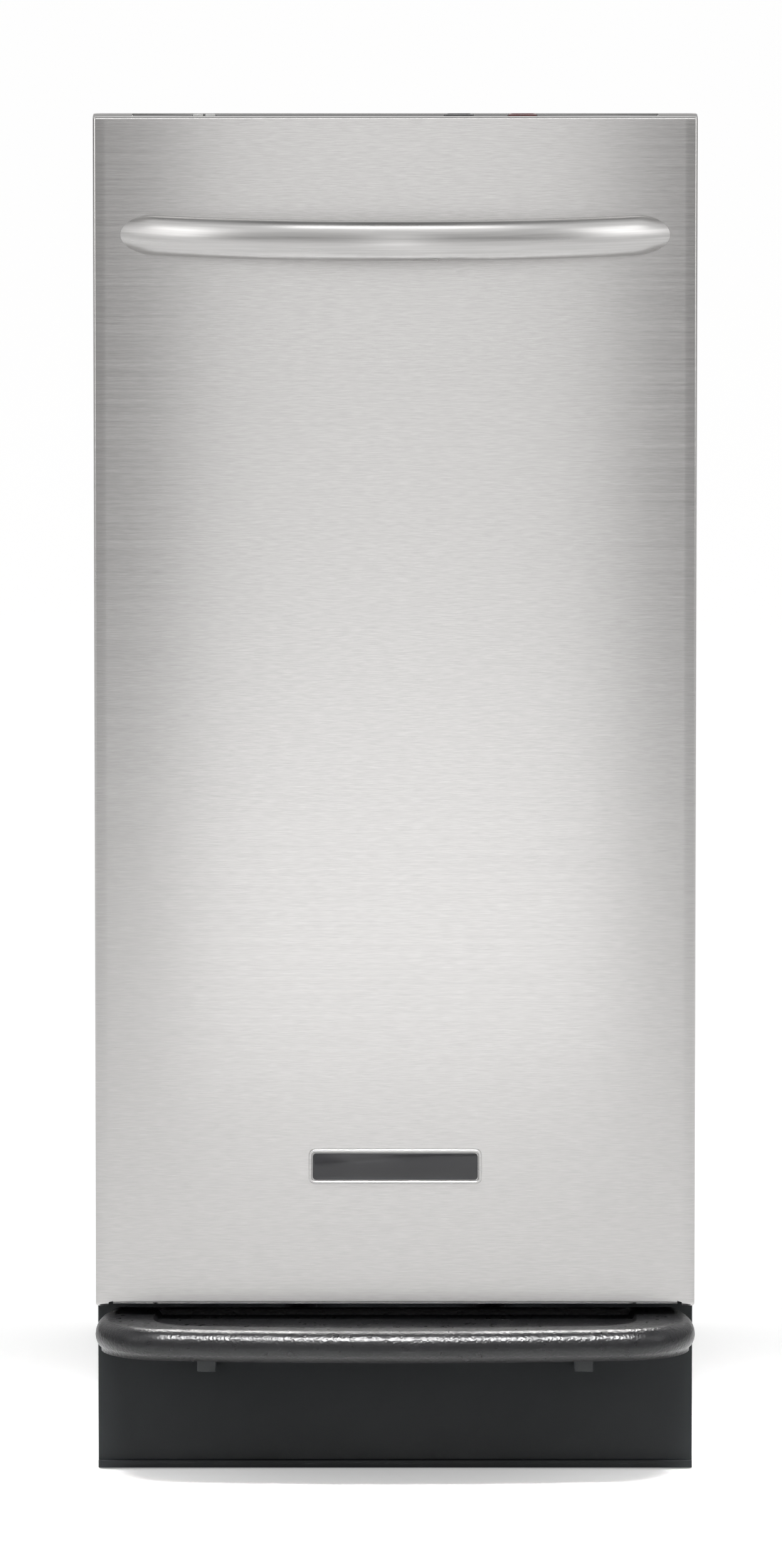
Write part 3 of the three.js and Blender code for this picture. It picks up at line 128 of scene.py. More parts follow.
for name, width, power in (("narrow", 0.14, 0.55), ("wide", 0.24, 0.94), ("widest", 0.34, 1.33)):
    soft_light("front_strip_" + name, (0.005, -1.8, 0.85), (0.005, -0.28, 0.85), width, 1.5, power)
soft_light("left_softbox", (-2.6, -1.6, 1.6), (0, 0, 0.45), 1.0, 1.6, 13)
soft_light("right_softbox", (2.6, -1.4, 1.6), (0, 0, 0.45), 1.0, 1.6, 13)
soft_light("back_softbox", (0.4, 3.0, 2.6), (0, 0, 0.45), 2.4, 1.6, 10)
soft_light("top_softbox", (0, -1.25, 2.5), (0, -0.3, 0.2), 1.6, 0.4, 8)
low_strip = soft_light("low_strip", (0, -0.95, 1.15), (0, -0.34, 0.1), 0.9, 0.2, 3.4)
low_strip.data.spread = math.radians(30)

# Side panels
# Two sheets of cold rolled steel, flanged along every edge and powder coated in a warm grey. Each hooks
# over the chassis and is held along its rear flange by the screws of the rear panel.
panel_grey = (0.30, 0.30, 0.295)
panel_edge = 0.0005


def cad_copy(node):
    """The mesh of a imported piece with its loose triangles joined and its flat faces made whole."""
    bm = bmesh.new()
    bm.from_mesh(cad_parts[node].data)
    bmesh.ops.remove_doubles(bm, verts=bm.verts, dist=0.00002)
    bmesh.ops.dissolve_limit(bm, angle_limit=math.radians(1), verts=bm.verts, edges=bm.edges)
    return bm


def ease_edges(bm, width, least=30, segments=2):
    """Rounds every edge that turns by more than least degrees."""
    sharp = [e for e in bm.edges if e.is_manifold and e.calc_face_angle(0) > math.radians(least)]
    bmesh.ops.bevel(
        bm,
        geom=sharp,
        offset=width,
        offset_type="OFFSET",
        segments=segments,
        profile=0.5,
        affect="EDGES",
        material=-1,
        clamp_overlap=True,
    )


def finished_piece(bm, name, body, material, replaced=(), smooth=35):
    """Makes the shape an object with its finish, on its body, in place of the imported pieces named."""
    mesh = bpy.data.meshes.new(name)
    bm.to_mesh(mesh)
    bm.free()
    mesh.materials.append(material)
    mesh.shade_smooth()
    mesh.set_sharp_from_angle(angle=math.radians(smooth))
    obj = bpy.data.objects.new(name, mesh)
    bpy.context.scene.collection.objects.link(obj)
    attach(obj, body)
    if replaced:
        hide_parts(*replaced)
    return obj


def eased_copy(node, body, material, width, least=30, segments=2, smooth=35):
    """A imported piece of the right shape, with its edges rounded and its own finish."""
    bm = cad_copy(node)
    ease_edges(bm, width, least, segments)
    return finished_piece(bm, node + "_piece", body, material, (node,), smooth)


def plain_finish(name, colour, roughness, metallic=0.0, specular=0.5):
    """A material with the constants of a finish."""
    material = bpy.data.materials.new(name)
    material.use_nodes = True
    shader = material.node_tree.nodes["Principled BSDF"]
    shader.inputs["Base Color"].default_value = (*colour, 1)
    shader.inputs["Roughness"].default_value = roughness
    shader.inputs["Metallic"].default_value = metallic
    shader.inputs["Specular IOR Level"].default_value = specular
    return material


def grain(material, scale, stretch=(1, 1, 1), detail=3.0, kind="noise", rough=0.5):
    """A noise or cell pattern on Object coordinates, as a value from 0 to 1."""
    nodes = material.node_tree.nodes
    links = material.node_tree.links
    place = nodes.new("ShaderNodeTexCoord")
    mapping = nodes.new("ShaderNodeMapping")
    mapping.inputs["Scale"].default_value = stretch
    links.new(place.outputs["Object"], mapping.inputs["Vector"])
    if kind == "cells":
        cells = nodes.new("ShaderNodeTexVoronoi")
        cells.inputs["Scale"].default_value = scale
        links.new(mapping.outputs["Vector"], cells.inputs["Vector"])
        grey = nodes.new("ShaderNodeRGBToBW")
        links.new(cells.outputs["Color"], grey.inputs["Color"])
        return grey.outputs["Val"]
    if kind == "pebbles":
        pebbles = nodes.new("ShaderNodeTexVoronoi")
        pebbles.feature = "SMOOTH_F1"
        pebbles.inputs["Scale"].default_value = scale
        links.new(mapping.outputs["Vector"], pebbles.inputs["Vector"])
        return pebbles.outputs["Distance"]
    noise = nodes.new("ShaderNodeTexNoise")
    noise.inputs["Scale"].default_value = scale
    noise.inputs["Detail"].default_value = detail
    noise.inputs["Roughness"].default_value = rough
    links.new(mapping.outputs["Vector"], noise.inputs["Vector"])
    return noise.outputs["Fac"]


def tint(material, value, dark, light, low=0.35, high=0.65):
    """Colours the finish from dark to light as value goes from low to high."""
    nodes = material.node_tree.nodes
    links = material.node_tree.links
    ramp = nodes.new("ShaderNodeValToRGB")
    ramp.color_ramp.elements[0].position = low
    ramp.color_ramp.elements[0].color = (*dark, 1)
    ramp.color_ramp.elements[1].position = high
    ramp.color_ramp.elements[1].color = (*light, 1)
    links.new(value, ramp.inputs["Fac"])
    links.new(ramp.outputs["Color"], nodes["Principled BSDF"].inputs["Base Color"])


def dull(material, value, glossy, matt, low=0.3, high=0.7):
    """Makes the finish go from glossy to matt as value goes from low to high."""
    nodes = material.node_tree.nodes
    links = material.node_tree.links
    between = nodes.new("ShaderNodeMapRange")
    between.inputs["From Min"].default_value = low
    between.inputs["From Max"].default_value = high
    between.inputs["To Min"].default_value = glossy
    between.inputs["To Max"].default_value = matt
    links.new(value, between.inputs["Value"])
    links.new(between.outputs["Result"], nodes["Principled BSDF"].inputs["Roughness"])


def texture(material, value, height, strength=1.0):
    """Raises the surface by up to height, in metres, as value goes from 0 to 1."""
    nodes = material.node_tree.nodes
    links = material.node_tree.links
    bump = nodes.new("ShaderNodeBump")
    bump.inputs["Distance"].default_value = height
    bump.inputs["Strength"].default_value = strength
    links.new(value, bump.inputs["Height"])
    shader = nodes["Principled BSDF"]
    if shader.inputs["Normal"].is_linked:
        links.new(shader.inputs["Normal"].links[0].from_socket, bump.inputs["Normal"])
    links.new(bump.outputs["Normal"], shader.inputs["Normal"])


def grey_powder_coat():
    coat = plain_finish("grey_powder_coat", panel_grey, 0.42, specular=0.45)
    tint(coat, grain(coat, 7, detail=4), (0.285, 0.285, 0.28), (0.315, 0.315, 0.31))
    dull(coat, grain(coat, 30, detail=5), 0.36, 0.5)
    texture(coat, grain(coat, 900, detail=2), 0.00012, 0.5)
    return coat


grey_coat = grey_powder_coat()
for side in ("left", "right"):
    eased_copy(side + "_side_panel", "cabinet", grey_coat, panel_edge)

# Top panel
# A flanged sheet of the same coated steel that closes the cabinet under the worktop. Four screws go down
# through it into the beam that joins the uprights.
top_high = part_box("top_panel")[1]
eased_copy("top_panel", "cabinet", grey_coat, panel_edge)


def zinc_plate():
    zinc = plain_finish("zinc_plate", (0.55, 0.56, 0.57), 0.35, metallic=1.0)
    tint(zinc, grain(zinc, 60, detail=4), (0.50, 0.51, 0.52), (0.60, 0.61, 0.61))
    dull(zinc, grain(zinc, 220, detail=3), 0.28, 0.42)
    return zinc


def add_hex_screw(bm, place, axis, radius=0.004, tall=0.0032):
    """A hex head on its washer face, at place, with axis pointing out of the sheet."""
    turn = Vector(axis).to_track_quat("Z", "Y").to_matrix().to_4x4()
    at = Matrix.Translation(Vector(place)) @ turn
    washer = at @ Matrix.Translation((0, 0, 0.0004))
    bmesh.ops.create_cone(
        bm,
        cap_ends=True,
        segments=14,
        radius1=radius * 1.3,
        radius2=radius * 1.2,
        depth=0.0008,
        matrix=washer,
    )
    head = at @ Matrix.Translation((0, 0, 0.0008 + tall / 2))
    made = bmesh.ops.create_cone(
        bm,
        cap_ends=True,
        segments=6,
        radius1=radius,
        radius2=radius * 0.96,
        depth=tall,
        matrix=head,
    )
    top = [f for f in bm.faces if len(f.verts) == 6 and all(v in made["verts"] for v in f.verts)]
    top = sorted(top, key=lambda f: (f.calc_center_median() - Vector(place)).length)[-1:]
    bmesh.ops.inset_individual(bm, faces=top, thickness=radius * 0.28, depth=0)
    bmesh.ops.translate(bm, verts=top[0].verts, vec=Vector(axis) * -0.0005)

zinc = zinc_plate()
top_screws = bmesh.new()
for across in (-0.168, 0.168):
    for depth in (-0.032, -0.003):
        add_hex_screw(top_screws, (across, depth, top_high.z), (0, 0, 1))
finished_piece(top_screws, "top_panel_screws", "cabinet", zinc)

# Rear panel
# A plain galvanised sheet with a stack of louvres that lets the motor breathe. Each louvre is lanced and
# pressed out as a hood. Hex head screws hold the sheet to the flanges of the sides and the top.
rear_low, rear_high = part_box("rear_panel")
louvre_wide = 0.070
louvre_left = sum(corner.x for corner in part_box("motor_housing")) / 2 - louvre_wide / 2
louvre_first = 0.131
louvre_pitch = 0.012
louvre_count = 7
hood_proud = 0.0032


def spangled_zinc():
    sheet = plain_finish("spangled_zinc", (0.52, 0.54, 0.56), 0.38, metallic=1.0)
    spangle = grain(sheet, 95, kind="cells")
    tint(sheet, spangle, (0.44, 0.46, 0.48), (0.60, 0.62, 0.64), 0.2, 0.8)
    dull(sheet, spangle, 0.30, 0.48, 0.2, 0.8)
    texture(sheet, grain(sheet, 260, detail=3), 0.00005, 0.4)
    return sheet


spangle = spangled_zinc()
eased_copy("rear_panel", "cabinet", spangle, 0.0003)

hoods = bmesh.new()
for i in range(louvre_count):
    foot = louvre_first + i * louvre_pitch + 0.0042
    made = bmesh.ops.create_cone(
        hoods,
        cap_ends=True,
        segments=20,
        radius1=hood_proud,
        radius2=hood_proud,
        depth=louvre_wide,
        matrix=Matrix.Translation((louvre_left + louvre_wide / 2, rear_high.y, foot))
        @ Matrix.Rotation(math.pi / 2, 4, "Y"),
    )
    bmesh.ops.scale(
        hoods,
        vec=(1, 1, 1.5),
        space=Matrix.Translation((0, 0, -foot)),
        verts=made["verts"],
    )
bmesh.ops.bisect_plane(
    hoods,
    geom=hoods.verts[:] + hoods.edges[:] + hoods.faces[:],
    plane_co=(0, rear_high.y + 0.0001, 0),
    plane_no=(0, -1, 0),
    clear_outer=True,
)
under = [f for f in hoods.faces if f.normal.z < -0.3]
bmesh.ops.delete(hoods, geom=under, context="FACES")
bmesh.ops.solidify(hoods, geom=hoods.faces[:], thickness=0.0008)
finished_piece(hoods, "rear_louvre_hoods", "cabinet", spangle)

rear_screws = bmesh.new()
for across in (rear_low.x + 0.008, rear_high.x - 0.008):
    for height in (0.03, 0.16, 0.30, 0.44, 0.58, 0.72, 0.81):
        add_hex_screw(rear_screws, (across, rear_high.y, height), (0, 1, 0), tall=0.0028)
for across in (-0.10, 0.0, 0.10):
    add_hex_screw(rear_screws, (across, rear_high.y, rear_high.z - 0.009), (0, 1, 0), tall=0.0028)
    add_hex_screw(rear_screws, (across, rear_high.y, rear_low.z + 0.009), (0, 1, 0), tall=0.0028)
finished_piece(rear_screws, "rear_panel_screws", "cabinet", zinc)

# Cord inlet
# A bushing moulded in black nylon that snaps into the round hole of the rear panel, where the supply
# cord is wired in on site.


def black_moulding():
    moulding = plain_finish("black_moulding", (0.018, 0.018, 0.019), 0.45)
    tint(moulding, grain(moulding, 40, detail=4), (0.014, 0.014, 0.015), (0.024, 0.024, 0.025))
    dull(moulding, grain(moulding, 300, detail=3), 0.38, 0.52)
    texture(moulding, grain(moulding, 1800, detail=2), 0.00006, 0.5)
    return moulding


black_plastic = black_moulding()
eased_copy("cord_inlet", "cabinet", black_plastic, 0.0005)

# Chassis, uprights and top beam
# The working frame: a galvanised tray turned upside down over the floor, two channels that stand on it
# and a channel across their heads. The power screws run between the tray and the beam.
chassis_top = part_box("chassis")[1].z
for node, width in (
    ("chassis", 0.0006),
    ("left_upright", 0.0006),
    ("right_upright", 0.0006),
    ("top_beam", 0.0006),
    ("left_cabinet_track", 0.0004),
    ("right_cabinet_track", 0.0004),
):
    eased_copy(node, "cabinet", spangle, width)
eased_copy("ram_switch", "cabinet", black_plastic, 0.0008)

frame_bolts = bmesh.new()
for node, inward in (("left_upright", 1), ("right_upright", -1)):
    low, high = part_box(node)
    web = high.x if inward < 0 else low.x
    for height in (0.13, 0.15, 0.765, 0.785):
        for depth in (low.y + 0.012, high.y - 0.012):
            spot = (web + inward * 0.0021, depth, height)
            add_hex_screw(frame_bolts, spot, (inward, 0, 0), 0.005, 0.0035)
for depth in (0.05, 0.10, 0.25):
    for across in (-0.165, 0.165):
        add_hex_screw(frame_bolts, (across, depth, chassis_top), (0, 0, 1), 0.004, 0.003)
finished_piece(frame_bolts, "frame_bolts", "cabinet", zinc)

# Front rollers
# Acetal wheels on pins at the front ends of the cabinet tracks. The rails of the drawer run on them.


def white_acetal():
    acetal = plain_finish("white_acetal", (0.74, 0.73, 0.69), 0.38)
    tint(acetal, grain(acetal, 60, detail=3), (0.68, 0.67, 0.62), (0.78, 0.77, 0.74))
    dull(acetal, grain(acetal, 200, detail=3), 0.3, 0.45)
    texture(acetal, grain(acetal, 700, detail=2), 0.00005, 0.4)
    return acetal


nylon = white_acetal()
for side in ("left", "right"):
    body = side + "_front_roller"
    eased_copy(body, body, nylon, 0.0006)

# Toe panel
# A black painted steel panel, folded back at its sides and stepped out in a lip along the floor. The two
# brackets that carry the pedal are welded to its face.


def satin_black_paint():
    paint = plain_finish("satin_black_paint", (0.007, 0.0085, 0.009), 0.42, specular=0.22)
    tint(paint, grain(paint, 9, detail=4), (0.007, 0.0085, 0.009), (0.0095, 0.011, 0.0115))
    dull(paint, grain(paint, 60, detail=4), 0.38, 0.48)
    texture(paint, grain(paint, 1300, detail=2), 0.00008, 0.4)
    return paint


toe_black = satin_black_paint()
eased_copy("toe_panel", "cabinet", toe_black, 0.0005)
for side in ("left", "right"):
    eased_copy(side + "_pedal_bracket", "cabinet", toe_black, 0.0006)

# Levelling legs
# Zinc plated screws with a hexagon for the spanner and a round pad, through the two front corners of the
# chassis.


def bright_steel():
    steel = plain_finish("bright_steel", (0.50, 0.50, 0.49), 0.3, metallic=1.0)
    tint(steel, grain(steel, 25, detail=5), (0.42, 0.42, 0.41), (0.56, 0.56, 0.55))
    dull(steel, grain(steel, 140, detail=4), 0.22, 0.4)
    texture(steel, grain(steel, 1500, (1, 1, 3), 2), 0.00003, 0.5)
    return steel


steel = bright_steel()


def add_thread(bm, centre, bottom, top, root, crest, lead, starts=1, steps=20):
    """Winds a ridge round an upright core, from bottom to top, rising by lead at each turn."""
    turns = (top - bottom - lead / starts) / lead
    half = lead / starts * 0.34
    for start in range(starts):
        turned = 2 * math.pi * start / starts
        section = []
        for reach, rise in ((root, 0), (crest, half * 0.45), (crest, half * 1.35), (root, half * 1.8)):
            east = centre[0] + reach * math.cos(turned)
            north = centre[1] + reach * math.sin(turned)
            spot = Vector((east, north, bottom + rise))
            section.append(bm.verts.new(spot))
        face = bm.faces.new(section)
        count = int(steps * turns)
        bmesh.ops.spin(
            bm,
            geom=[face] + list(face.edges) + list(face.verts),
            cent=(centre[0], centre[1], bottom),
            axis=(0, 0, 1),
            dvec=(0, 0, lead * turns / count),
            angle=2 * math.pi * turns,
            steps=count,
            use_merge=False,
            use_duplicate=False,
        )


for side in ("left", "right"):
    node = side + "_levelling_leg"
    leg = cad_copy(node)
    ease_edges(leg, 0.0004)
    leg_low, leg_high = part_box(node)
    middle = (leg_low + leg_high) / 2
    add_thread(leg, (middle.x, middle.y), 0.020, 0.0625, 0.0044, 0.0050, 0.0018, steps=12)
    finished_piece(leg, node + "_piece", node, steel, (node,))

# Rear wheels
# Moulded wheels on a plain steel axle, low at the back, on which the machine rolls in and out of its
# opening.
for side in ("left", "right"):
    body = side + "_rear_wheel"
    eased_copy(body, body, black_plastic, 0.0008)
eased_copy("rear_axle", "cabinet", steel, 0.0006)

# Power screws
# Two steel screws with a coarse rolled thread, one at each side of the ram. They stand in bronze thrust
# bearings under the deck and turn in the top beam, and the chain drives both.


def oiled_bronze():
    bronze = plain_finish("oiled_bronze", (0.46, 0.27, 0.11), 0.36, metallic=1.0)
    tint(bronze, grain(bronze, 90, detail=4), (0.36, 0.20, 0.08), (0.52, 0.32, 0.14))
    dull(bronze, grain(bronze, 300, detail=3), 0.28, 0.45)
    texture(bronze, grain(bronze, 1400, detail=2), 0.00005, 0.5)
    return bronze


bearing_bronze = oiled_bronze()
screw_lead = 0.0127
for side in ("left", "right"):
    node = side + "_power_screw"
    screw_low, screw_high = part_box(node)
    centre = ((screw_low.x + screw_high.x) / 2, (screw_low.y + screw_high.y) / 2)
    screw = cad_copy(node)
    for v in screw.verts:
        out = Vector((v.co.x - centre[0], v.co.y - centre[1]))
        if out.length > 0.0075 and 0.108 < v.co.z < 0.8025:
            out = out * (0.0066 / out.length)
            v.co.x = centre[0] + out.x
            v.co.y = centre[1] + out.y
    ease_edges(screw, 0.0003)
    add_thread(screw, centre, 0.1115, 0.797, 0.0064, 0.00795, screw_lead, starts=2)
    finished_piece(screw, node + "_piece", side + "_screw", steel, (node,))
    node = side + "_thrust_bearing"
    eased_copy(node, "cabinet", bearing_bronze, 0.0005)
    node = side + "_screw_sprocket"
    eased_copy(node, side + "_screw", steel, 0.0003)

# Roller chain
# An endless chain of pressed steel plates on pins and rollers. It goes round both screw sprockets at the
# front and the small driving sprocket behind the bin.
chain_low, chain_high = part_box("roller_chain")
chain_pitch = 0.009525
chain_middle = (chain_low.z + chain_high.z) / 2
plate_thick = 0.0013
plate_half = 0.0022
link_tall = chain_high.z - chain_low.z


def middle_of(node):
    low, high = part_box(node)
    return (low + high) / 2


screw_reach = chain_high.x - middle_of("right_power_screw").x - 0.0025
drive_reach = chain_high.y - middle_of("drive_sprocket").y - 0.0025
chain_wheels = [
    (middle_of("left_power_screw"), screw_reach),
    (middle_of("right_power_screw"), screw_reach),
    (middle_of("drive_sprocket"), drive_reach),
]


def loop_line(wheels, spacing):
    """Evenly spaced points, with directions, on a loop drawn tight round wheels listed anticlockwise."""
    leaving = []
    for i, (middle, reach) in enumerate(wheels):
        beyond, beyond_reach = wheels[(i + 1) % len(wheels)]
        run = beyond - middle
        along = math.hypot(run.x, run.y)
        leaving.append(math.atan2(run.y, run.x) - math.acos((reach - beyond_reach) / along))
    runs = []
    for i, (middle, reach) in enumerate(wheels):
        arriving = leaving[i - 1]
        swept = (leaving[i] - arriving) % (2 * math.pi)
        runs.append(("arc", middle, reach, arriving, swept, swept * reach))
        beyond, beyond_reach = wheels[(i + 1) % len(wheels)]
        side = Vector((math.cos(leaving[i]), math.sin(leaving[i]), 0))
        start = middle + side * reach
        end = beyond + side * beyond_reach
        runs.append(("straight", start, end, leaving[i], 0, (end - start).xy.length))
    whole = sum(run[5] for run in runs)
    count = 2 * round(whole / spacing / 2)
    points = []
    for k in range(count):
        left = whole * k / count
        for kind, first, second, angle, swept, length in runs:
            if left > length:
                left -= length
                continue
            if kind == "arc":
                turned = angle + swept * left / length
                points.append((first.x + second * math.cos(turned), first.y + second * math.sin(turned)))
            else:
                spot = first.lerp(second, left / length)
                points.append((spot.x, spot.y))
            break
    return points


def add_chain_plate(bm, start, end, z, half, thick):
    """A flat plate with round ends, from one pin to the next."""
    run = Vector((end[0] - start[0], end[1] - start[1], 0))
    turn = Matrix.Rotation(math.atan2(run.y, run.x), 4, "Z")
    middle = Matrix.Translation(((start[0] + end[0]) / 2, (start[1] + end[1]) / 2, z))
    made = bmesh.ops.create_cone(
        bm,
        cap_ends=True,
        segments=10,
        radius1=half,
        radius2=half,
        depth=thick,
    )
    for v in made["verts"]:
        v.co.x += math.copysign(run.length / 2, v.co.x) if abs(v.co.x) > 1e-6 else 0
    bmesh.ops.transform(bm, matrix=middle @ turn, verts=made["verts"])


chain = bmesh.new()
pins = loop_line(chain_wheels, chain_pitch)
for k, pin in enumerate(pins):
    ahead = pins[(k + 1) % len(pins)]
    spread = 0.0024 if k % 2 else 0.0038
    for level in (-spread, spread):
        add_chain_plate(chain, pin, ahead, chain_middle + level, plate_half, plate_thick)
    for radius, depth in ((0.0019, 0.0036), (0.0010, link_tall)):
        bmesh.ops.create_cone(
            chain,
            cap_ends=True,
            segments=8,
            radius1=radius,
            radius2=radius,
            depth=depth,
            matrix=Matrix.Translation((pin[0], pin[1], chain_middle)),
        )
finished_piece(chain, "roller_chain_links", "cabinet", steel, ("roller_chain",))

# Jackshaft
# A short steel shaft under the deck that gears the motor down: a large moulded pulley takes the belt, and
# the small sprocket below it drives the chain. A bent strap holds its foot.
eased_copy("drive_strap", "cabinet", spangle, 0.0006)
eased_copy("drive_shaft", "jackshaft", steel, 0.0005)
eased_copy("drive_sprocket", "jackshaft", steel, 0.0003)
eased_copy("drive_pulley", "jackshaft", black_plastic, 0.0006)

# Drive belt
# A ribbed rubber belt from the motor pulley to the large pulley of the jackshaft.


def belt_rubber():
    rubber = plain_finish("belt_rubber", (0.014, 0.014, 0.014), 0.72)
    tint(rubber, grain(rubber, 50, detail=4), (0.011, 0.011, 0.011), (0.020, 0.020, 0.019))
    dull(rubber, grain(rubber, 200, detail=3), 0.62, 0.82)
    texture(rubber, grain(rubber, 900, (1, 1, 2), 2), 0.00008, 0.6)
    return rubber


rubber = belt_rubber()
belt_low, belt_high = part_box("drive_belt")
belt = cad_copy("drive_belt")
for level in (0.25, 0.375, 0.5, 0.625, 0.75):
    height = belt_low.z + (belt_high.z - belt_low.z) * level
    bmesh.ops.bisect_plane(
        belt,
        geom=belt.verts[:] + belt.edges[:] + belt.faces[:],
        plane_co=(0, 0, height),
        plane_no=(0, 0, 1),
    )
ribs = [f for f in belt.faces if abs(f.normal.z) < 0.1]
bmesh.ops.inset_individual(belt, faces=ribs, thickness=0.00025, depth=-0.0003)
finished_piece(belt, "drive_belt_piece", "cabinet", rubber, ("drive_belt",), 50)

# Motor
# An induction motor in black enamel, bolted down by its square foot, with a cooling slot ring in its
# shell and a rounded end bell. Its shaft goes down through the deck to a steel pulley.


def motor_enamel():
    enamel = plain_finish("motor_enamel", (0.022, 0.023, 0.024), 0.33)
    tint(enamel, grain(enamel, 30, detail=4), (0.018, 0.019, 0.020), (0.028, 0.029, 0.030))
    dull(enamel, grain(enamel, 70, detail=4), 0.28, 0.42)
    texture(enamel, grain(enamel, 600, detail=2), 0.0001, 0.5)
    return enamel


enamel = motor_enamel()
motor_low, motor_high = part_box("motor_housing")
motor_middle = middle_of("motor_housing")
motor = bmesh.new()
profile = (
    (0.0068, 0.0),
    (0.0068, 0.0045),
    (0.0500, 0.0045),
    (0.0530, 0.0060),
    (0.0565, 0.0150),
    (0.0565, 0.0290),
    (0.0550, 0.0300),
    (0.0550, 0.0310),
    (0.0565, 0.0320),
    (0.0565, 0.0920),
    (0.0550, 0.0930),
    (0.0550, 0.0940),
    (0.0565, 0.0950),
    (0.0565, 0.1050),
    (0.0535, 0.1120),
    (0.0480, 0.1165),
    (0.0420, 0.1178),
    (0.0200, 0.1178),
    (0.0180, 0.1165),
    (0.0, 0.1165),
)
rim = []
for reach, rise in profile[1:]:
    rim.append(motor.verts.new((motor_middle.x + reach, motor_middle.y, motor_low.z + rise)))
lines = [motor.edges.new(pair) for pair in zip(rim, rim[1:])]
bmesh.ops.spin(
    motor,
    geom=rim + lines,
    cent=motor_middle,
    axis=(0, 0, 1),
    angle=2 * math.pi,
    steps=56,
    use_merge=True,
)
bmesh.ops.remove_doubles(motor, verts=motor.verts, dist=0.00005)
slots = []
for f in motor.faces:
    spot = f.calc_center_median()
    reach = math.hypot(spot.x - motor_middle.x, spot.y - motor_middle.y)
    turned = math.degrees(math.atan2(spot.y - motor_middle.y, spot.x - motor_middle.x)) % 30
    if 0.096 < spot.z - motor_low.z < 0.104 and reach > 0.055 and turned < 20:
        slots.append(f)
bmesh.ops.recalc_face_normals(motor, faces=motor.faces)
bmesh.ops.inset_individual(motor, faces=slots, thickness=0.0008, depth=0)
bmesh.ops.inset_individual(motor, faces=slots, thickness=0.0002, depth=-0.003)
foot = bmesh.ops.create_cube(
    motor,
    size=1,
    matrix=Matrix.Translation((motor_middle.x, motor_middle.y, motor_low.z + 0.0025))
    @ Matrix.Diagonal((motor_high.x - motor_low.x - 0.0004, motor_high.y - motor_low.y - 0.0004, 0.005, 1)),
)
foot_edges = list({e for v in foot["verts"] for e in v.link_edges})
upright_edges = [e for e in foot_edges if abs(e.verts[0].co.z - e.verts[1].co.z) > 0.004]
bmesh.ops.bevel(
    motor,
    geom=upright_edges,
    offset=0.012,
    segments=5,
    profile=0.5,
    affect="EDGES",
    material=-1,
)
for across in (-0.047, 0.047):
    for depth in (-0.047, 0.047):
        spot = (motor_middle.x + across, motor_middle.y + depth, motor_low.z + 0.005)
        add_hex_screw(motor, spot, (0, 0, 1), 0.005, 0.0035)
for turned in range(45, 360, 90):
    reach = 0.0445
    spot = (
        motor_middle.x + reach * math.cos(math.radians(turned)),
        motor_middle.y + reach * math.sin(math.radians(turned)),
        motor_low.z + 0.1172,
    )
    add_hex_screw(motor, spot, (0, 0, 1), 0.0032, 0.002)
finished_piece(motor, "motor_shell", "cabinet", enamel, ("motor_housing",))
eased_copy("motor_shaft", "motor_rotor", steel, 0.0004)
eased_copy("motor_pulley", "motor_rotor", steel, 0.0004)

# Ram
# The folded steel box that presses the trash, with a thick ground plate on its underside. It hangs from a
# channel whose two bronze nuts run on the power screws.


def ground_steel():
    ground = plain_finish("ground_steel", (0.46, 0.46, 0.455), 0.34, metallic=1.0)
    tint(ground, grain(ground, 14, detail=5), (0.36, 0.36, 0.355), (0.52, 0.52, 0.515))
    dull(ground, grain(ground, 60, detail=5), 0.28, 0.48)
    texture(ground, grain(ground, 300, (0.05, 1, 1), 3), 0.00006, 0.6)
    return ground


ram_plate_steel = ground_steel()
eased_copy("ram_box", "ram", grey_coat, 0.0008)
eased_copy("ram_plate", "ram", ram_plate_steel, 0.0014, segments=3)
eased_copy("ram_crosshead", "ram", spangle, 0.0008)
for side in ("left", "right"):
    eased_copy(side + "_power_nut", "ram", bearing_bronze, 0.0005)
plate_low, plate_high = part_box("ram_plate")
plate_bolts = bmesh.new()
for across in (-0.07, 0.0, 0.07):
    for depth in (plate_low.y + 0.03, (plate_low.y + plate_high.y) / 2 + 0.06, plate_high.y - 0.03):
        spot = (across, depth, plate_high.z + 0.0016)
        add_hex_screw(plate_bolts, spot, (0, 0, 1), 0.005, 0.0035)
finished_piece(plate_bolts, "ram_plate_bolts", "ram", zinc)

# Door skin
# One sheet of stainless steel, brushed from side to side and folded back 36 mm along its sides, its top
# and its lower edge. The folds of the lower edge stop short of the corners, where the sheet is notched.
door_back = door_high.y
bend = 0.0024
sheet = 0.001
notch_near = 0.1787
notch_far = 0.1816
notch_tall = 0.0024
middle_lift = 0.0009
lift_tall = 0.012


def brushed_stainless():
    """Stainless steel with fine streaks from side to side, which spread its reflections up and down."""
    brushed = plain_finish("brushed_stainless", (0.475, 0.468, 0.463), 0.18, metallic=1.0)
    shader = brushed.node_tree.nodes["Principled BSDF"]
    shader.inputs["Anisotropic"].default_value = 0.72
    shader.inputs["Anisotropic Rotation"].default_value = 0.25
    streaks = grain(brushed, 1, (110, 110, 2200), 2, rough=0.6)
    tint(brushed, streaks, (0.44, 0.433, 0.428), (0.51, 0.502, 0.496), 0.3, 0.7)
    dull(brushed, grain(brushed, 1, (5, 5, 700), 3), 0.165, 0.2)
    texture(brushed, streaks, 0.00003, 0.1)
    return brushed


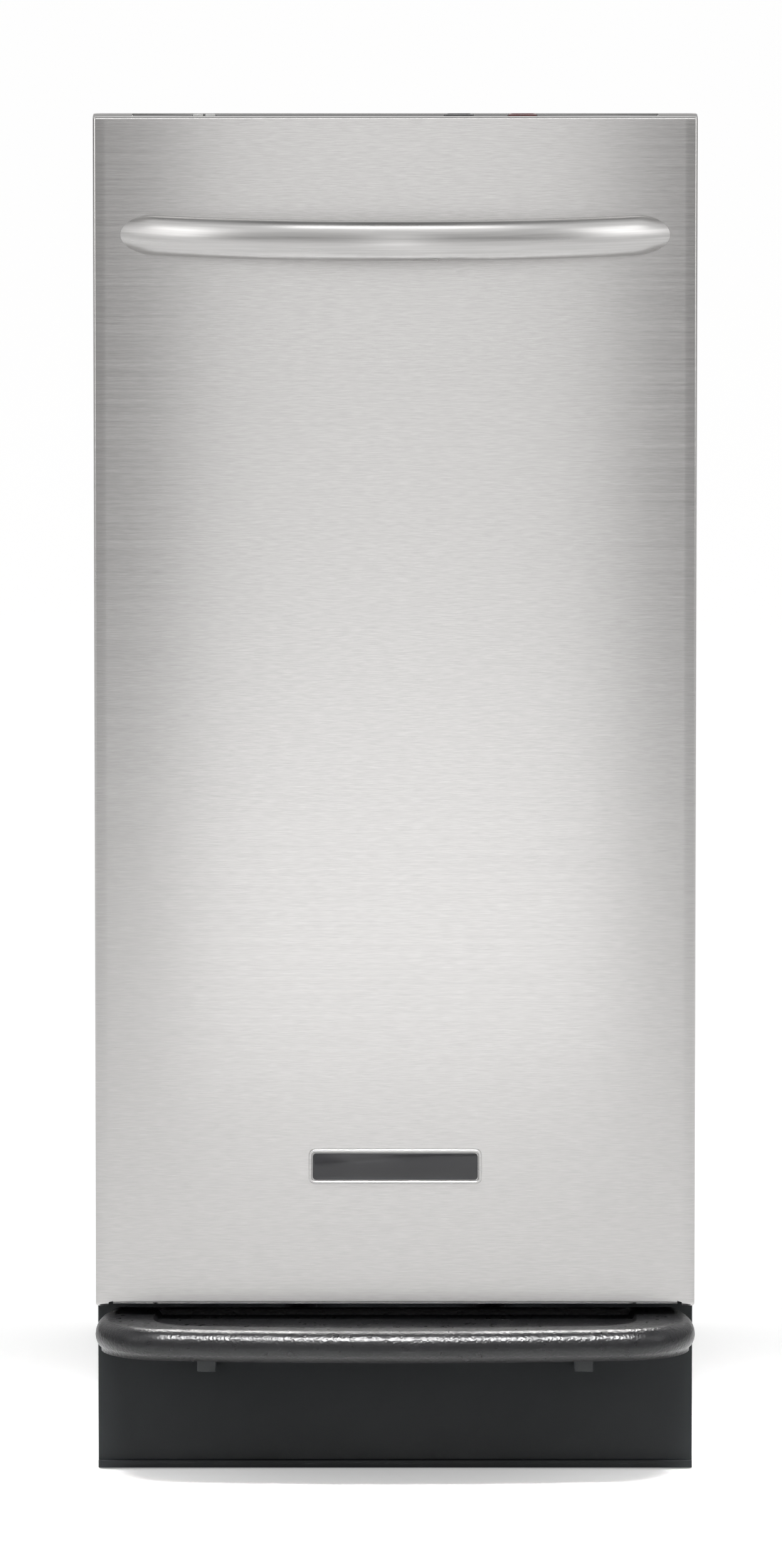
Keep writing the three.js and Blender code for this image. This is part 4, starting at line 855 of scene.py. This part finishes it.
stainless = brushed_stainless()
skin = bmesh.new()
door_size = door_high - door_low
bmesh.ops.create_cube(
    skin,
    size=1,
    matrix=Matrix.Translation((door_low + door_high) / 2) @ Matrix.Diagonal((*door_size, 1)),
)
upright_bends = [
    e
    for e in skin.edges
    if all(abs(v.co.y - door_low.y) < 0.0001 for v in e.verts)
    and abs(e.verts[0].co.z - e.verts[1].co.z) > 0.1
]
bmesh.ops.bevel(
    skin,
    geom=upright_bends,
    offset=bend,
    segments=6,
    profile=0.5,
    affect="EDGES",
    material=-1,
)
rear_corners = [
    e
    for e in skin.edges
    if all(abs(v.co.y - door_back) < 0.0001 for v in e.verts)
    and abs(e.verts[0].co.z - e.verts[1].co.z) > 0.1
]
bmesh.ops.bevel(
    skin,
    geom=rear_corners,
    offset=0.005,
    segments=5,
    profile=0.5,
    affect="EDGES",
    material=-1,
)
front_rim = [
    e
    for e in skin.edges
    if all(v.co.y < door_low.y + bend + 0.0001 for v in e.verts)
    and e.is_manifold
    and e.calc_face_angle(0) > math.radians(60)
]
bmesh.ops.bevel(
    skin,
    geom=front_rim,
    offset=0.0016,
    segments=4,
    profile=0.5,
    affect="EDGES",
    material=-1,
)
open_back = [f for f in skin.faces if f.normal.y > 0.5]
bmesh.ops.delete(skin, geom=open_back, context="FACES")
for across in (-notch_far, -notch_near, notch_near, notch_far):
    bmesh.ops.bisect_plane(
        skin,
        geom=skin.verts[:] + skin.edges[:] + skin.faces[:],
        plane_co=(across, 0, 0),
        plane_no=(1, 0, 0),
    )
for rise in (notch_tall, lift_tall):
    bmesh.ops.bisect_plane(
        skin,
        geom=skin.verts[:] + skin.edges[:] + skin.faces[:],
        plane_co=(0, 0, door_low.z + rise),
        plane_no=(0, 0, 1),
    )
notches = [
    f
    for f in skin.faces
    if notch_near < abs(f.calc_center_median().x) < notch_far
    and f.calc_center_median().z < door_low.z + notch_tall
]
bmesh.ops.delete(skin, geom=notches, context="FACES")
for v in skin.verts:
    if abs(v.co.x) < notch_near + 0.0001 and v.co.z < door_low.z + lift_tall - 0.0001:
        v.co.z += middle_lift
console_low, console_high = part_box("console_strip")
for normal, edge in (
    ((1, 0, 0), console_low.x - 0.0003),
    ((1, 0, 0), console_high.x + 0.0003),
    ((0, 1, 0), console_low.y - 0.0003),
    ((0, 1, 0), console_high.y + 0.0003),
):
    bmesh.ops.bisect_plane(
        skin,
        geom=skin.verts[:] + skin.edges[:] + skin.faces[:],
        plane_co=[edge * n for n in normal],
        plane_no=normal,
    )
console_cut = [
    f
    for f in skin.faces
    if f.normal.z > 0.9
    and console_low.x < f.calc_center_median().x < console_high.x
    and console_low.y < f.calc_center_median().y < console_high.y
]
bmesh.ops.delete(skin, geom=console_cut, context="FACES")
bmesh.ops.solidify(skin, geom=skin.faces[:], thickness=sheet)
finished_piece(skin, "door_skin_folded", "drawer", stainless, ("door_skin",))

# Door liner
# A coated steel pan that closes the back of the door and carries it on the drawer.
eased_copy("door_liner", "drawer", grey_coat, 0.0006)

# Handle
# A solid stainless bar, oval across, bent to an even bow and polished. Its ends are rounded off and meet
# the door at a slant, each held by a stud from behind.
handle_low, handle_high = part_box("bow_handle")
handle_half = handle_high.x + 0.0004
handle_reach = door_low.y - handle_low.y
handle_tall = (handle_high.z - handle_low.z) / 2
handle_deep = 0.0165 / 2
handle_z = (handle_low.z + handle_high.z) / 2
bow_outer = (handle_half**2 + handle_reach**2) / (2 * handle_reach)
bow_middle = bow_outer - handle_deep
bow_centre = Vector((0, door_low.y + bow_outer - handle_reach, handle_z))
bow_swing = math.asin(handle_half / bow_middle) + 0.02
tip_long = 0.023


def polished_stainless():
    """Stainless steel with a satin polish along the bar and faint lines left by the belt."""
    polished = plain_finish("polished_stainless", (0.46, 0.453, 0.448), 0.31, metallic=1.0)
    tint(polished, grain(polished, 1, (20, 20, 900), 3), (0.43, 0.424, 0.419), (0.49, 0.483, 0.478))
    dull(polished, grain(polished, 1, (16, 16, 260), 3), 0.27, 0.35)
    texture(polished, grain(polished, 1, (22, 22, 1400), 2), 0.00002, 0.2)
    return polished


polished = polished_stainless()
handle = bmesh.new()
ring = bmesh.ops.create_circle(handle, cap_ends=False, segments=56, radius=1)
for v in ring["verts"]:
    v.co = Vector((0, v.co.x * handle_deep, v.co.y * handle_tall))
bmesh.ops.translate(handle, verts=handle.verts, vec=bow_centre + Vector((0, -bow_middle, 0)))
bmesh.ops.rotate(
    handle,
    verts=handle.verts,
    cent=bow_centre,
    matrix=Matrix.Rotation(-bow_swing, 3, "Z"),
)
bmesh.ops.spin(
    handle,
    geom=handle.verts[:] + handle.edges[:],
    cent=bow_centre,
    axis=(0, 0, 1),
    angle=2 * bow_swing,
    steps=160,
)
for v in handle.verts:
    past = (abs(v.co.x) - (handle_half - tip_long)) / tip_long
    if past > 0:
        rounded = math.sqrt(max(0.0, 1 - min(0.999, past) ** 2))
        at_door = math.hypot(v.co.x, bow_centre.y - door_low.y) - bow_middle
        reach = math.sqrt(max(0.0001, 1 - min(0.999, max(0.0, at_door / handle_deep)) ** 2))
        v.co.z = handle_z + (v.co.z - handle_z) * min(1.0, rounded / reach)
bmesh.ops.bisect_plane(
    handle,
    geom=handle.verts[:] + handle.edges[:] + handle.faces[:],
    plane_co=(0, handle_high.y, 0),
    plane_no=(0, 1, 0),
    clear_outer=True,
)
bmesh.ops.remove_doubles(handle, verts=handle.verts, dist=0.00002)
bmesh.ops.holes_fill(handle, edges=[e for e in handle.edges if e.is_boundary], sides=0)
bmesh.ops.recalc_face_normals(handle, faces=handle.faces)
finished_piece(handle, "bow_handle_bar", "drawer", polished, ("bow_handle",), 50)

# Nameplate
# A pressed bright frame around a black insert, left blank, stuck low on the door.
name_low, name_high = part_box("nameplate")
frame_border = 0.0021


def console_gloss():
    """Black moulding with a high gloss face."""
    gloss = plain_finish("console_gloss", (0.010, 0.010, 0.011), 0.14)
    tint(gloss, grain(gloss, 30, detail=3), (0.008, 0.008, 0.009), (0.013, 0.013, 0.014))
    dull(gloss, grain(gloss, 90, detail=3), 0.1, 0.2)
    texture(gloss, grain(gloss, 500, detail=2), 0.00002, 0.3)
    return gloss


gloss_black = console_gloss()


def add_rounded_plate(bm, low, high, corner, segments=6):
    """A flat plate that faces forward, with its four corners rounded."""
    size = high - low
    made = bmesh.ops.create_cube(
        bm,
        size=1,
        matrix=Matrix.Translation((low + high) / 2) @ Matrix.Diagonal((*size, 1)),
    )
    edges = list({e for v in made["verts"] for e in v.link_edges})
    across = [e for e in edges if abs(e.verts[0].co.y - e.verts[1].co.y) > size.y / 2]
    bmesh.ops.bevel(
        bm,
        geom=across,
        offset=corner,
        segments=segments,
        profile=0.5,
        affect="EDGES",
        material=-1,
    )
    return [f for f in bm.faces if f.normal.y < -0.9]


plate_frame = bmesh.new()
front = add_rounded_plate(plate_frame, name_low, name_high, 0.004)
bmesh.ops.inset_region(plate_frame, faces=front, thickness=0.0005, depth=0.0, use_even_offset=True)
bmesh.ops.inset_region(plate_frame, faces=front, thickness=frame_border - 0.0008, depth=0.0)
bmesh.ops.inset_region(plate_frame, faces=front, thickness=0.0003, depth=-0.0011)
outer_rim = [
    e
    for e in plate_frame.edges
    if all(abs(v.co.y - name_low.y) < 0.00002 for v in e.verts) and e.calc_face_angle(0) > math.radians(60)
]
bmesh.ops.bevel(
    plate_frame,
    geom=outer_rim,
    offset=0.0004,
    segments=3,
    profile=0.5,
    affect="EDGES",
    material=-1,
)
finished_piece(plate_frame, "nameplate_frame", "drawer", polished, ("nameplate",))

insert_low = name_low + Vector((frame_border + 0.0004, 0.0003, frame_border + 0.0004))
insert_high = Vector((
    name_high.x - frame_border - 0.0004,
    name_low.y + 0.0009,
    name_high.z - frame_border - 0.0004,
))
plate_insert = bmesh.new()
add_rounded_plate(plate_insert, insert_low, insert_high, 0.0022)
ease_edges(plate_insert, 0.0002)
finished_piece(plate_insert, "nameplate_insert", "drawer", gloss_black)

# Console
# A black moulded strip let into the top of the door. It holds the start button, the red stop button and
# the key switch, so that the controls are hidden from the front when the drawer is shut.


def button_plastic(name, dark, light):
    """Moulded plastic of one colour with a fine matt grain."""
    moulding = plain_finish(name, light, 0.36)
    tint(moulding, grain(moulding, 120, detail=3), dark, light)
    dull(moulding, grain(moulding, 300, detail=3), 0.3, 0.44)
    texture(moulding, grain(moulding, 2200, detail=2), 0.00004, 0.5)
    return moulding


eased_copy("console_strip", "drawer", gloss_black, 0.0008, segments=3)
start_black = button_plastic("start_black", (0.035, 0.035, 0.036), (0.05, 0.05, 0.052))
stop_red = button_plastic("stop_red", (0.06, 0.006, 0.006), (0.08, 0.008, 0.007))
for node, slot, material in (
    ("start_button", "button_black", start_black),
    ("stop_button", "stop_red", stop_red),
):
    button = cad_copy(node)
    ease_edges(button, 0.0009, segments=4)
    button_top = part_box(node)[1].z
    crown = [f for f in button.faces if f.normal.z > 0.98 and f.calc_center_median().z > button_top - 0.0004]
    bmesh.ops.inset_region(button, faces=crown, thickness=0.0016, depth=0.0)
    bmesh.ops.inset_region(button, faces=crown, thickness=0.0010, depth=-0.0004)
    finished_piece(button, node + "_cap", node, material, (node,), 40)

knob_low, knob_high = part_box("key_knob")
knob_middle = (knob_low + knob_high) / 2
knob = cad_copy("key_knob")
ease_edges(knob, 0.0005)
finished_piece(knob, "key_knob_barrel", "key_knob", steel, ("key_knob",))
# The key slot is not cut: a thin gloss black sheet on the knob's face is painted shade standing in for the
# dark hollow of the keyway.
keyway_painted_shade = bmesh.new()
bmesh.ops.create_cube(
    keyway_painted_shade,
    size=1,
    matrix=Matrix.Translation((knob_middle.x, knob_middle.y, knob_high.z - 0.0001))
    @ Matrix.Diagonal((0.0016, 0.0085, 0.0003, 1)),
)
ease_edges(keyway_painted_shade, 0.0001)
finished_piece(keyway_painted_shade, "key_knob_painted_keyway_shade", "key_knob", gloss_black)

# Drawer tray and rails
# A folded steel tray behind the door holds the bin. It hangs between two rails that run on the front
# rollers, and its own rollers run in the cabinet tracks.
eased_copy("drawer_tray", "drawer", grey_coat, 0.0005)
for side in ("left", "right"):
    eased_copy(side + "_drawer_rail", "drawer", spangle, 0.0005)
    body = side + "_rear_roller"
    eased_copy(body, body, nylon, 0.0006)

# Trash bin
# A deep moulded bin that lifts out of the tray. Its walls lean in towards the floor, its corners are
# round, and a turned down rim stiffens the mouth.
bin_low, bin_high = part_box("trash_bin")
bin_wall = 0.0025
bin_lean = 0.007
rim_out = 0.005
rim_tall = 0.008


def bin_moulding():
    moulding = plain_finish("bin_moulding", (0.40, 0.41, 0.41), 0.48)
    tint(moulding, grain(moulding, 8, detail=4), (0.37, 0.38, 0.38), (0.43, 0.44, 0.44))
    dull(moulding, grain(moulding, 40, detail=4), 0.42, 0.56)
    texture(moulding, grain(moulding, 1500, detail=2), 0.00008, 0.5)
    return moulding


bin_plastic = bin_moulding()
wall_low = Vector((bin_low.x + rim_out, bin_low.y + rim_out, bin_low.z))
wall_high = Vector((bin_high.x - rim_out, bin_high.y - rim_out, bin_high.z))
trash_bin = bmesh.new()
bmesh.ops.create_cube(
    trash_bin,
    size=1,
    matrix=Matrix.Translation((wall_low + wall_high) / 2) @ Matrix.Diagonal((*(wall_high - wall_low), 1)),
)
for v in trash_bin.verts:
    if v.co.z < (bin_low.z + bin_high.z) / 2:
        v.co.x -= math.copysign(bin_lean, v.co.x)
        v.co.y -= math.copysign(bin_lean, v.co.y - (bin_low.y + bin_high.y) / 2)
bin_corners = [e for e in trash_bin.edges if abs(e.verts[0].co.z - e.verts[1].co.z) > 0.3]
bmesh.ops.bevel(
    trash_bin,
    geom=bin_corners,
    offset=0.022,
    segments=8,
    profile=0.5,
    affect="EDGES",
    material=-1,
)
foot_rim = [
    e
    for e in trash_bin.edges
    if all(v.co.z < bin_low.z + 0.001 for v in e.verts) and e.calc_face_angle(0) > math.radians(45)
]
bmesh.ops.bevel(
    trash_bin,
    geom=foot_rim,
    offset=0.008,
    segments=4,
    profile=0.5,
    affect="EDGES",
    material=-1,
)
mouth = [f for f in trash_bin.faces if f.normal.z > 0.9]
bmesh.ops.delete(trash_bin, geom=mouth, context="FACES")
bmesh.ops.bisect_plane(
    trash_bin,
    geom=trash_bin.verts[:] + trash_bin.edges[:] + trash_bin.faces[:],
    plane_co=(0, 0, bin_high.z - 0.0004),
    plane_no=(0, 0, 1),
    clear_outer=True,
)
lip = [e for e in trash_bin.edges if e.is_boundary]
bin_middle = (bin_low + bin_high) / 2
for grow, drop in ((rim_out - 0.001, 0.0), (0.0007, -0.0006), (0.0, 0.0012 - rim_tall)):
    made = bmesh.ops.extrude_edge_only(trash_bin, edges=lip)
    lip = [e for e in made["geom"] if isinstance(e, bmesh.types.BMEdge) and e.is_boundary]
    rim_verts = list({v for e in lip for v in e.verts})
    wide = (bin_high.x - bin_low.x) / 2
    deep = (bin_high.y - bin_low.y) / 2
    bmesh.ops.scale(
        trash_bin,
        vec=(1 + grow / wide, 1 + grow / deep, 1),
        space=Matrix.Translation((-bin_middle.x, -bin_middle.y, 0)),
        verts=rim_verts,
    )
    bmesh.ops.translate(trash_bin, verts=rim_verts, vec=(0, 0, drop))
bmesh.ops.recalc_face_normals(trash_bin, faces=trash_bin.faces)
floor_face = min(trash_bin.faces, key=lambda f: f.calc_center_median().z)
if floor_face.normal.z > 0:
    bmesh.ops.reverse_faces(trash_bin, faces=trash_bin.faces)
bmesh.ops.solidify(trash_bin, geom=trash_bin.faces[:], thickness=bin_wall - 0.001)
finished_piece(trash_bin, "trash_bin_moulding", "drawer", bin_plastic, ("trash_bin",), 40)

# Foot pedal
# A bar pressed from thick steel and covered in black grained vinyl powder. It is as wide as the door, goes
# round both corners, bows forward and carries a shallow tray. Two fingers behind it push the drawer open.
pedal_low, pedal_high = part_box("foot_pedal")
bar_radius = 0.010
bar_z = pedal_low.z + 0.021
pedal_end = pedal_high.x - bar_radius
pedal_bow = 0.008
pedal_front = pedal_low.y + pedal_bow + bar_radius
pedal_corner = 0.040
end_turn_in = 0.007
pedal_back = middle_of("left_pedal_pin").y - 0.004
hinge = middle_of("left_pedal_pin")


def grained_black():
    """Thick black powder coat with a leathery grain."""
    coat = plain_finish("grained_black", (0.005, 0.005, 0.0055), 0.3, specular=0.25)
    pebbles = grain(coat, 620, kind="pebbles")
    tint(coat, grain(coat, 30, detail=4), (0.004, 0.004, 0.0045), (0.006, 0.006, 0.0065))
    dull(coat, grain(coat, 160, detail=4), 0.26, 0.36)
    texture(coat, pebbles, 0.00022, 1.0)
    return coat


pedal_black = grained_black()
bar_path = []
for i in range(5):
    turned_in = end_turn_in * ((4 - i) / 4) ** 2
    arm_length = pedal_front + pedal_corner - pedal_back
    bar_path.append((-pedal_end + turned_in, pedal_back + arm_length * i / 5))
for i in range(13):
    turned = math.radians(7.5 * i)
    bar_path.append((
        -pedal_end + pedal_corner * (1 - math.cos(turned)),
        pedal_front + pedal_corner * (1 - math.sin(turned)),
    ))
straight = pedal_end - pedal_corner
for i in range(1, 12):
    across = -straight + straight * i / 12
    bar_path.append((across, pedal_front - pedal_bow * (1 - (across / straight) ** 2)))
bar_path = bar_path + [(0, pedal_front - pedal_bow)] + [(-x, y) for x, y in reversed(bar_path)]

pedal = bmesh.new()
ring = bmesh.ops.create_circle(pedal, cap_ends=False, segments=28, radius=1)
for v in ring["verts"]:
    out, up = v.co.x, v.co.y
    if up < -0.35 and out > 0:
        out = max(out, 0.62 if up > -0.99 else 0.45)
    v.co = Vector((out * bar_radius, 0, up * bar_radius))
section = [v.co.copy() for v in ring["verts"]]
loop = [e for e in pedal.edges]
current = list(ring["verts"])


def place_section(verts, k):
    """Puts the ring across the bar's path at point k, with its outside away from the pedal's middle."""
    before = Vector((*bar_path[max(k - 1, 0)], 0))
    after = Vector((*bar_path[min(k + 1, len(bar_path) - 1)], 0))
    run = (after - before).normalized()
    outward = Vector((run.y, -run.x, 0))
    at = Vector((*bar_path[k], bar_z))
    for v, shape in zip(verts, section):
        v.co = at + outward * shape.x + Vector((0, 0, shape.z))


order = {v: i for i, v in enumerate(current)}
place_section(current, 0)
for k in range(1, len(bar_path)):
    made = bmesh.ops.extrude_edge_only(pedal, edges=loop)
    fresh = [g for g in made["geom"] if isinstance(g, bmesh.types.BMVert)]
    placed = [None] * len(current)
    for v in fresh:
        partner = next(e.other_vert(v) for e in v.link_edges if e.other_vert(v) in order)
        placed[order[partner]] = v
    loop = [g for g in made["geom"] if isinstance(g, bmesh.types.BMEdge) and g.is_boundary]
    current = placed
    order = {v: i for i, v in enumerate(current)}
    place_section(current, k)
bmesh.ops.holes_fill(pedal, edges=[e for e in pedal.edges if e.is_boundary], sides=0)
end_caps = [f for f in pedal.faces if len(f.verts) > 20]
for f in end_caps:
    bmesh.ops.inset_region(pedal, faces=[f], thickness=0.002, depth=0.0012)
    bmesh.ops.inset_region(pedal, faces=[f], thickness=0.003, depth=0.0008)
bmesh.ops.recalc_face_normals(pedal, faces=pedal.faces)
finished_piece(pedal, "foot_pedal_bar", "foot_pedal", pedal_black, ("foot_pedal",), 50)

tray = bmesh.new()
web_z = bar_z + 0.002
outline = [tray.verts.new((x, y, web_z)) for x, y in bar_path]
base = tray.faces.new(outline)
made = bmesh.ops.extrude_face_region(tray, geom=[base])
raised = [g for g in made["geom"] if isinstance(g, bmesh.types.BMVert)]
bmesh.ops.translate(tray, verts=raised, vec=(0, 0, 0.0077))
bmesh.ops.recalc_face_normals(tray, faces=tray.faces)
top = [f for f in tray.faces if f.normal.z > 0.9]
bmesh.ops.inset_region(tray, faces=top, thickness=0.0115, depth=0.0)
for v in top[0].verts:
    v.co.x *= 0.91
bmesh.ops.inset_region(tray, faces=top, thickness=0.0022, depth=-0.0032)
finished_piece(tray, "foot_pedal_tray", "foot_pedal", pedal_black, (), 50)

ear_inner = 0.0065
ear_thick = 0.003
finger_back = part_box("foot_pedal")[1].y
underside = bmesh.new()
for middle in (middle_of("left_pedal_pin"), middle_of("right_pedal_pin")):
    for face in (-1, 1):
        across = middle.x + face * (ear_inner + ear_thick / 2)
        bmesh.ops.create_cone(
            underside,
            cap_ends=True,
            segments=24,
            radius1=0.008,
            radius2=0.008,
            depth=ear_thick,
            matrix=Matrix.Translation((across, middle.y, middle.z)) @ Matrix.Rotation(math.pi / 2, 4, "Y"),
        )
        bmesh.ops.create_cube(
            underside,
            size=1,
            matrix=Matrix.Translation((across, middle.y - 0.012, middle.z + 0.0055))
            @ Matrix.Diagonal((ear_thick, 0.020, 0.016, 1)),
        )
for across in (-0.060, 0.060):
    for size, place in (
        (
            (0.020, finger_back - pedal_back + 0.004, 0.0025),
            (across, (pedal_back - 0.004 + finger_back) / 2, web_z + 0.00125),
        ),
        ((0.020, 0.003, pedal_high.z - web_z), (across, finger_back - 0.0015, (web_z + pedal_high.z) / 2)),
    ):
        bmesh.ops.create_cube(
            underside,
            size=1,
            matrix=Matrix.Translation(place) @ Matrix.Diagonal((*size, 1)),
        )
ease_edges(underside, 0.0004)
finished_piece(underside, "foot_pedal_ears", "foot_pedal", pedal_black)

for side in ("left", "right"):
    eased_copy(side + "_pedal_pin", "cabinet", steel, 0.0005)

# Pedal spring
# A torsion spring of round wire on the left pin. It lifts the pedal after each press.
spring_low, spring_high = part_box("pedal_spring")
wire = 0.0009
coil = bmesh.new()
coil_radius = (spring_high.z - spring_low.z) / 2 - wire
ring = bmesh.ops.create_circle(coil, cap_ends=False, segments=10, radius=wire)
bmesh.ops.rotate(coil, verts=coil.verts, cent=(0, 0, 0), matrix=Matrix.Rotation(math.pi / 2, 3, "Y"))
bmesh.ops.rotate(coil, verts=coil.verts, cent=(0, 0, 0), matrix=Matrix.Rotation(math.pi / 2, 3, "Z"))
start = Vector((spring_low.x + wire, hinge.y, hinge.z + coil_radius))
bmesh.ops.translate(coil, verts=coil.verts, vec=start)
coils = 6
steps = 24 * coils
bmesh.ops.spin(
    coil,
    geom=coil.verts[:] + coil.edges[:],
    cent=(start.x, hinge.y, hinge.z),
    axis=(1, 0, 0),
    dvec=((spring_high.x - spring_low.x - 2 * wire) / steps, 0, 0),
    angle=2 * math.pi * coils,
    steps=steps,
)
bmesh.ops.holes_fill(coil, edges=[e for e in coil.edges if e.is_boundary], sides=0)
bmesh.ops.recalc_face_normals(coil, faces=coil.faces)
finished_piece(coil, "pedal_spring_coil", "cabinet", steel, ("pedal_spring",), 60)
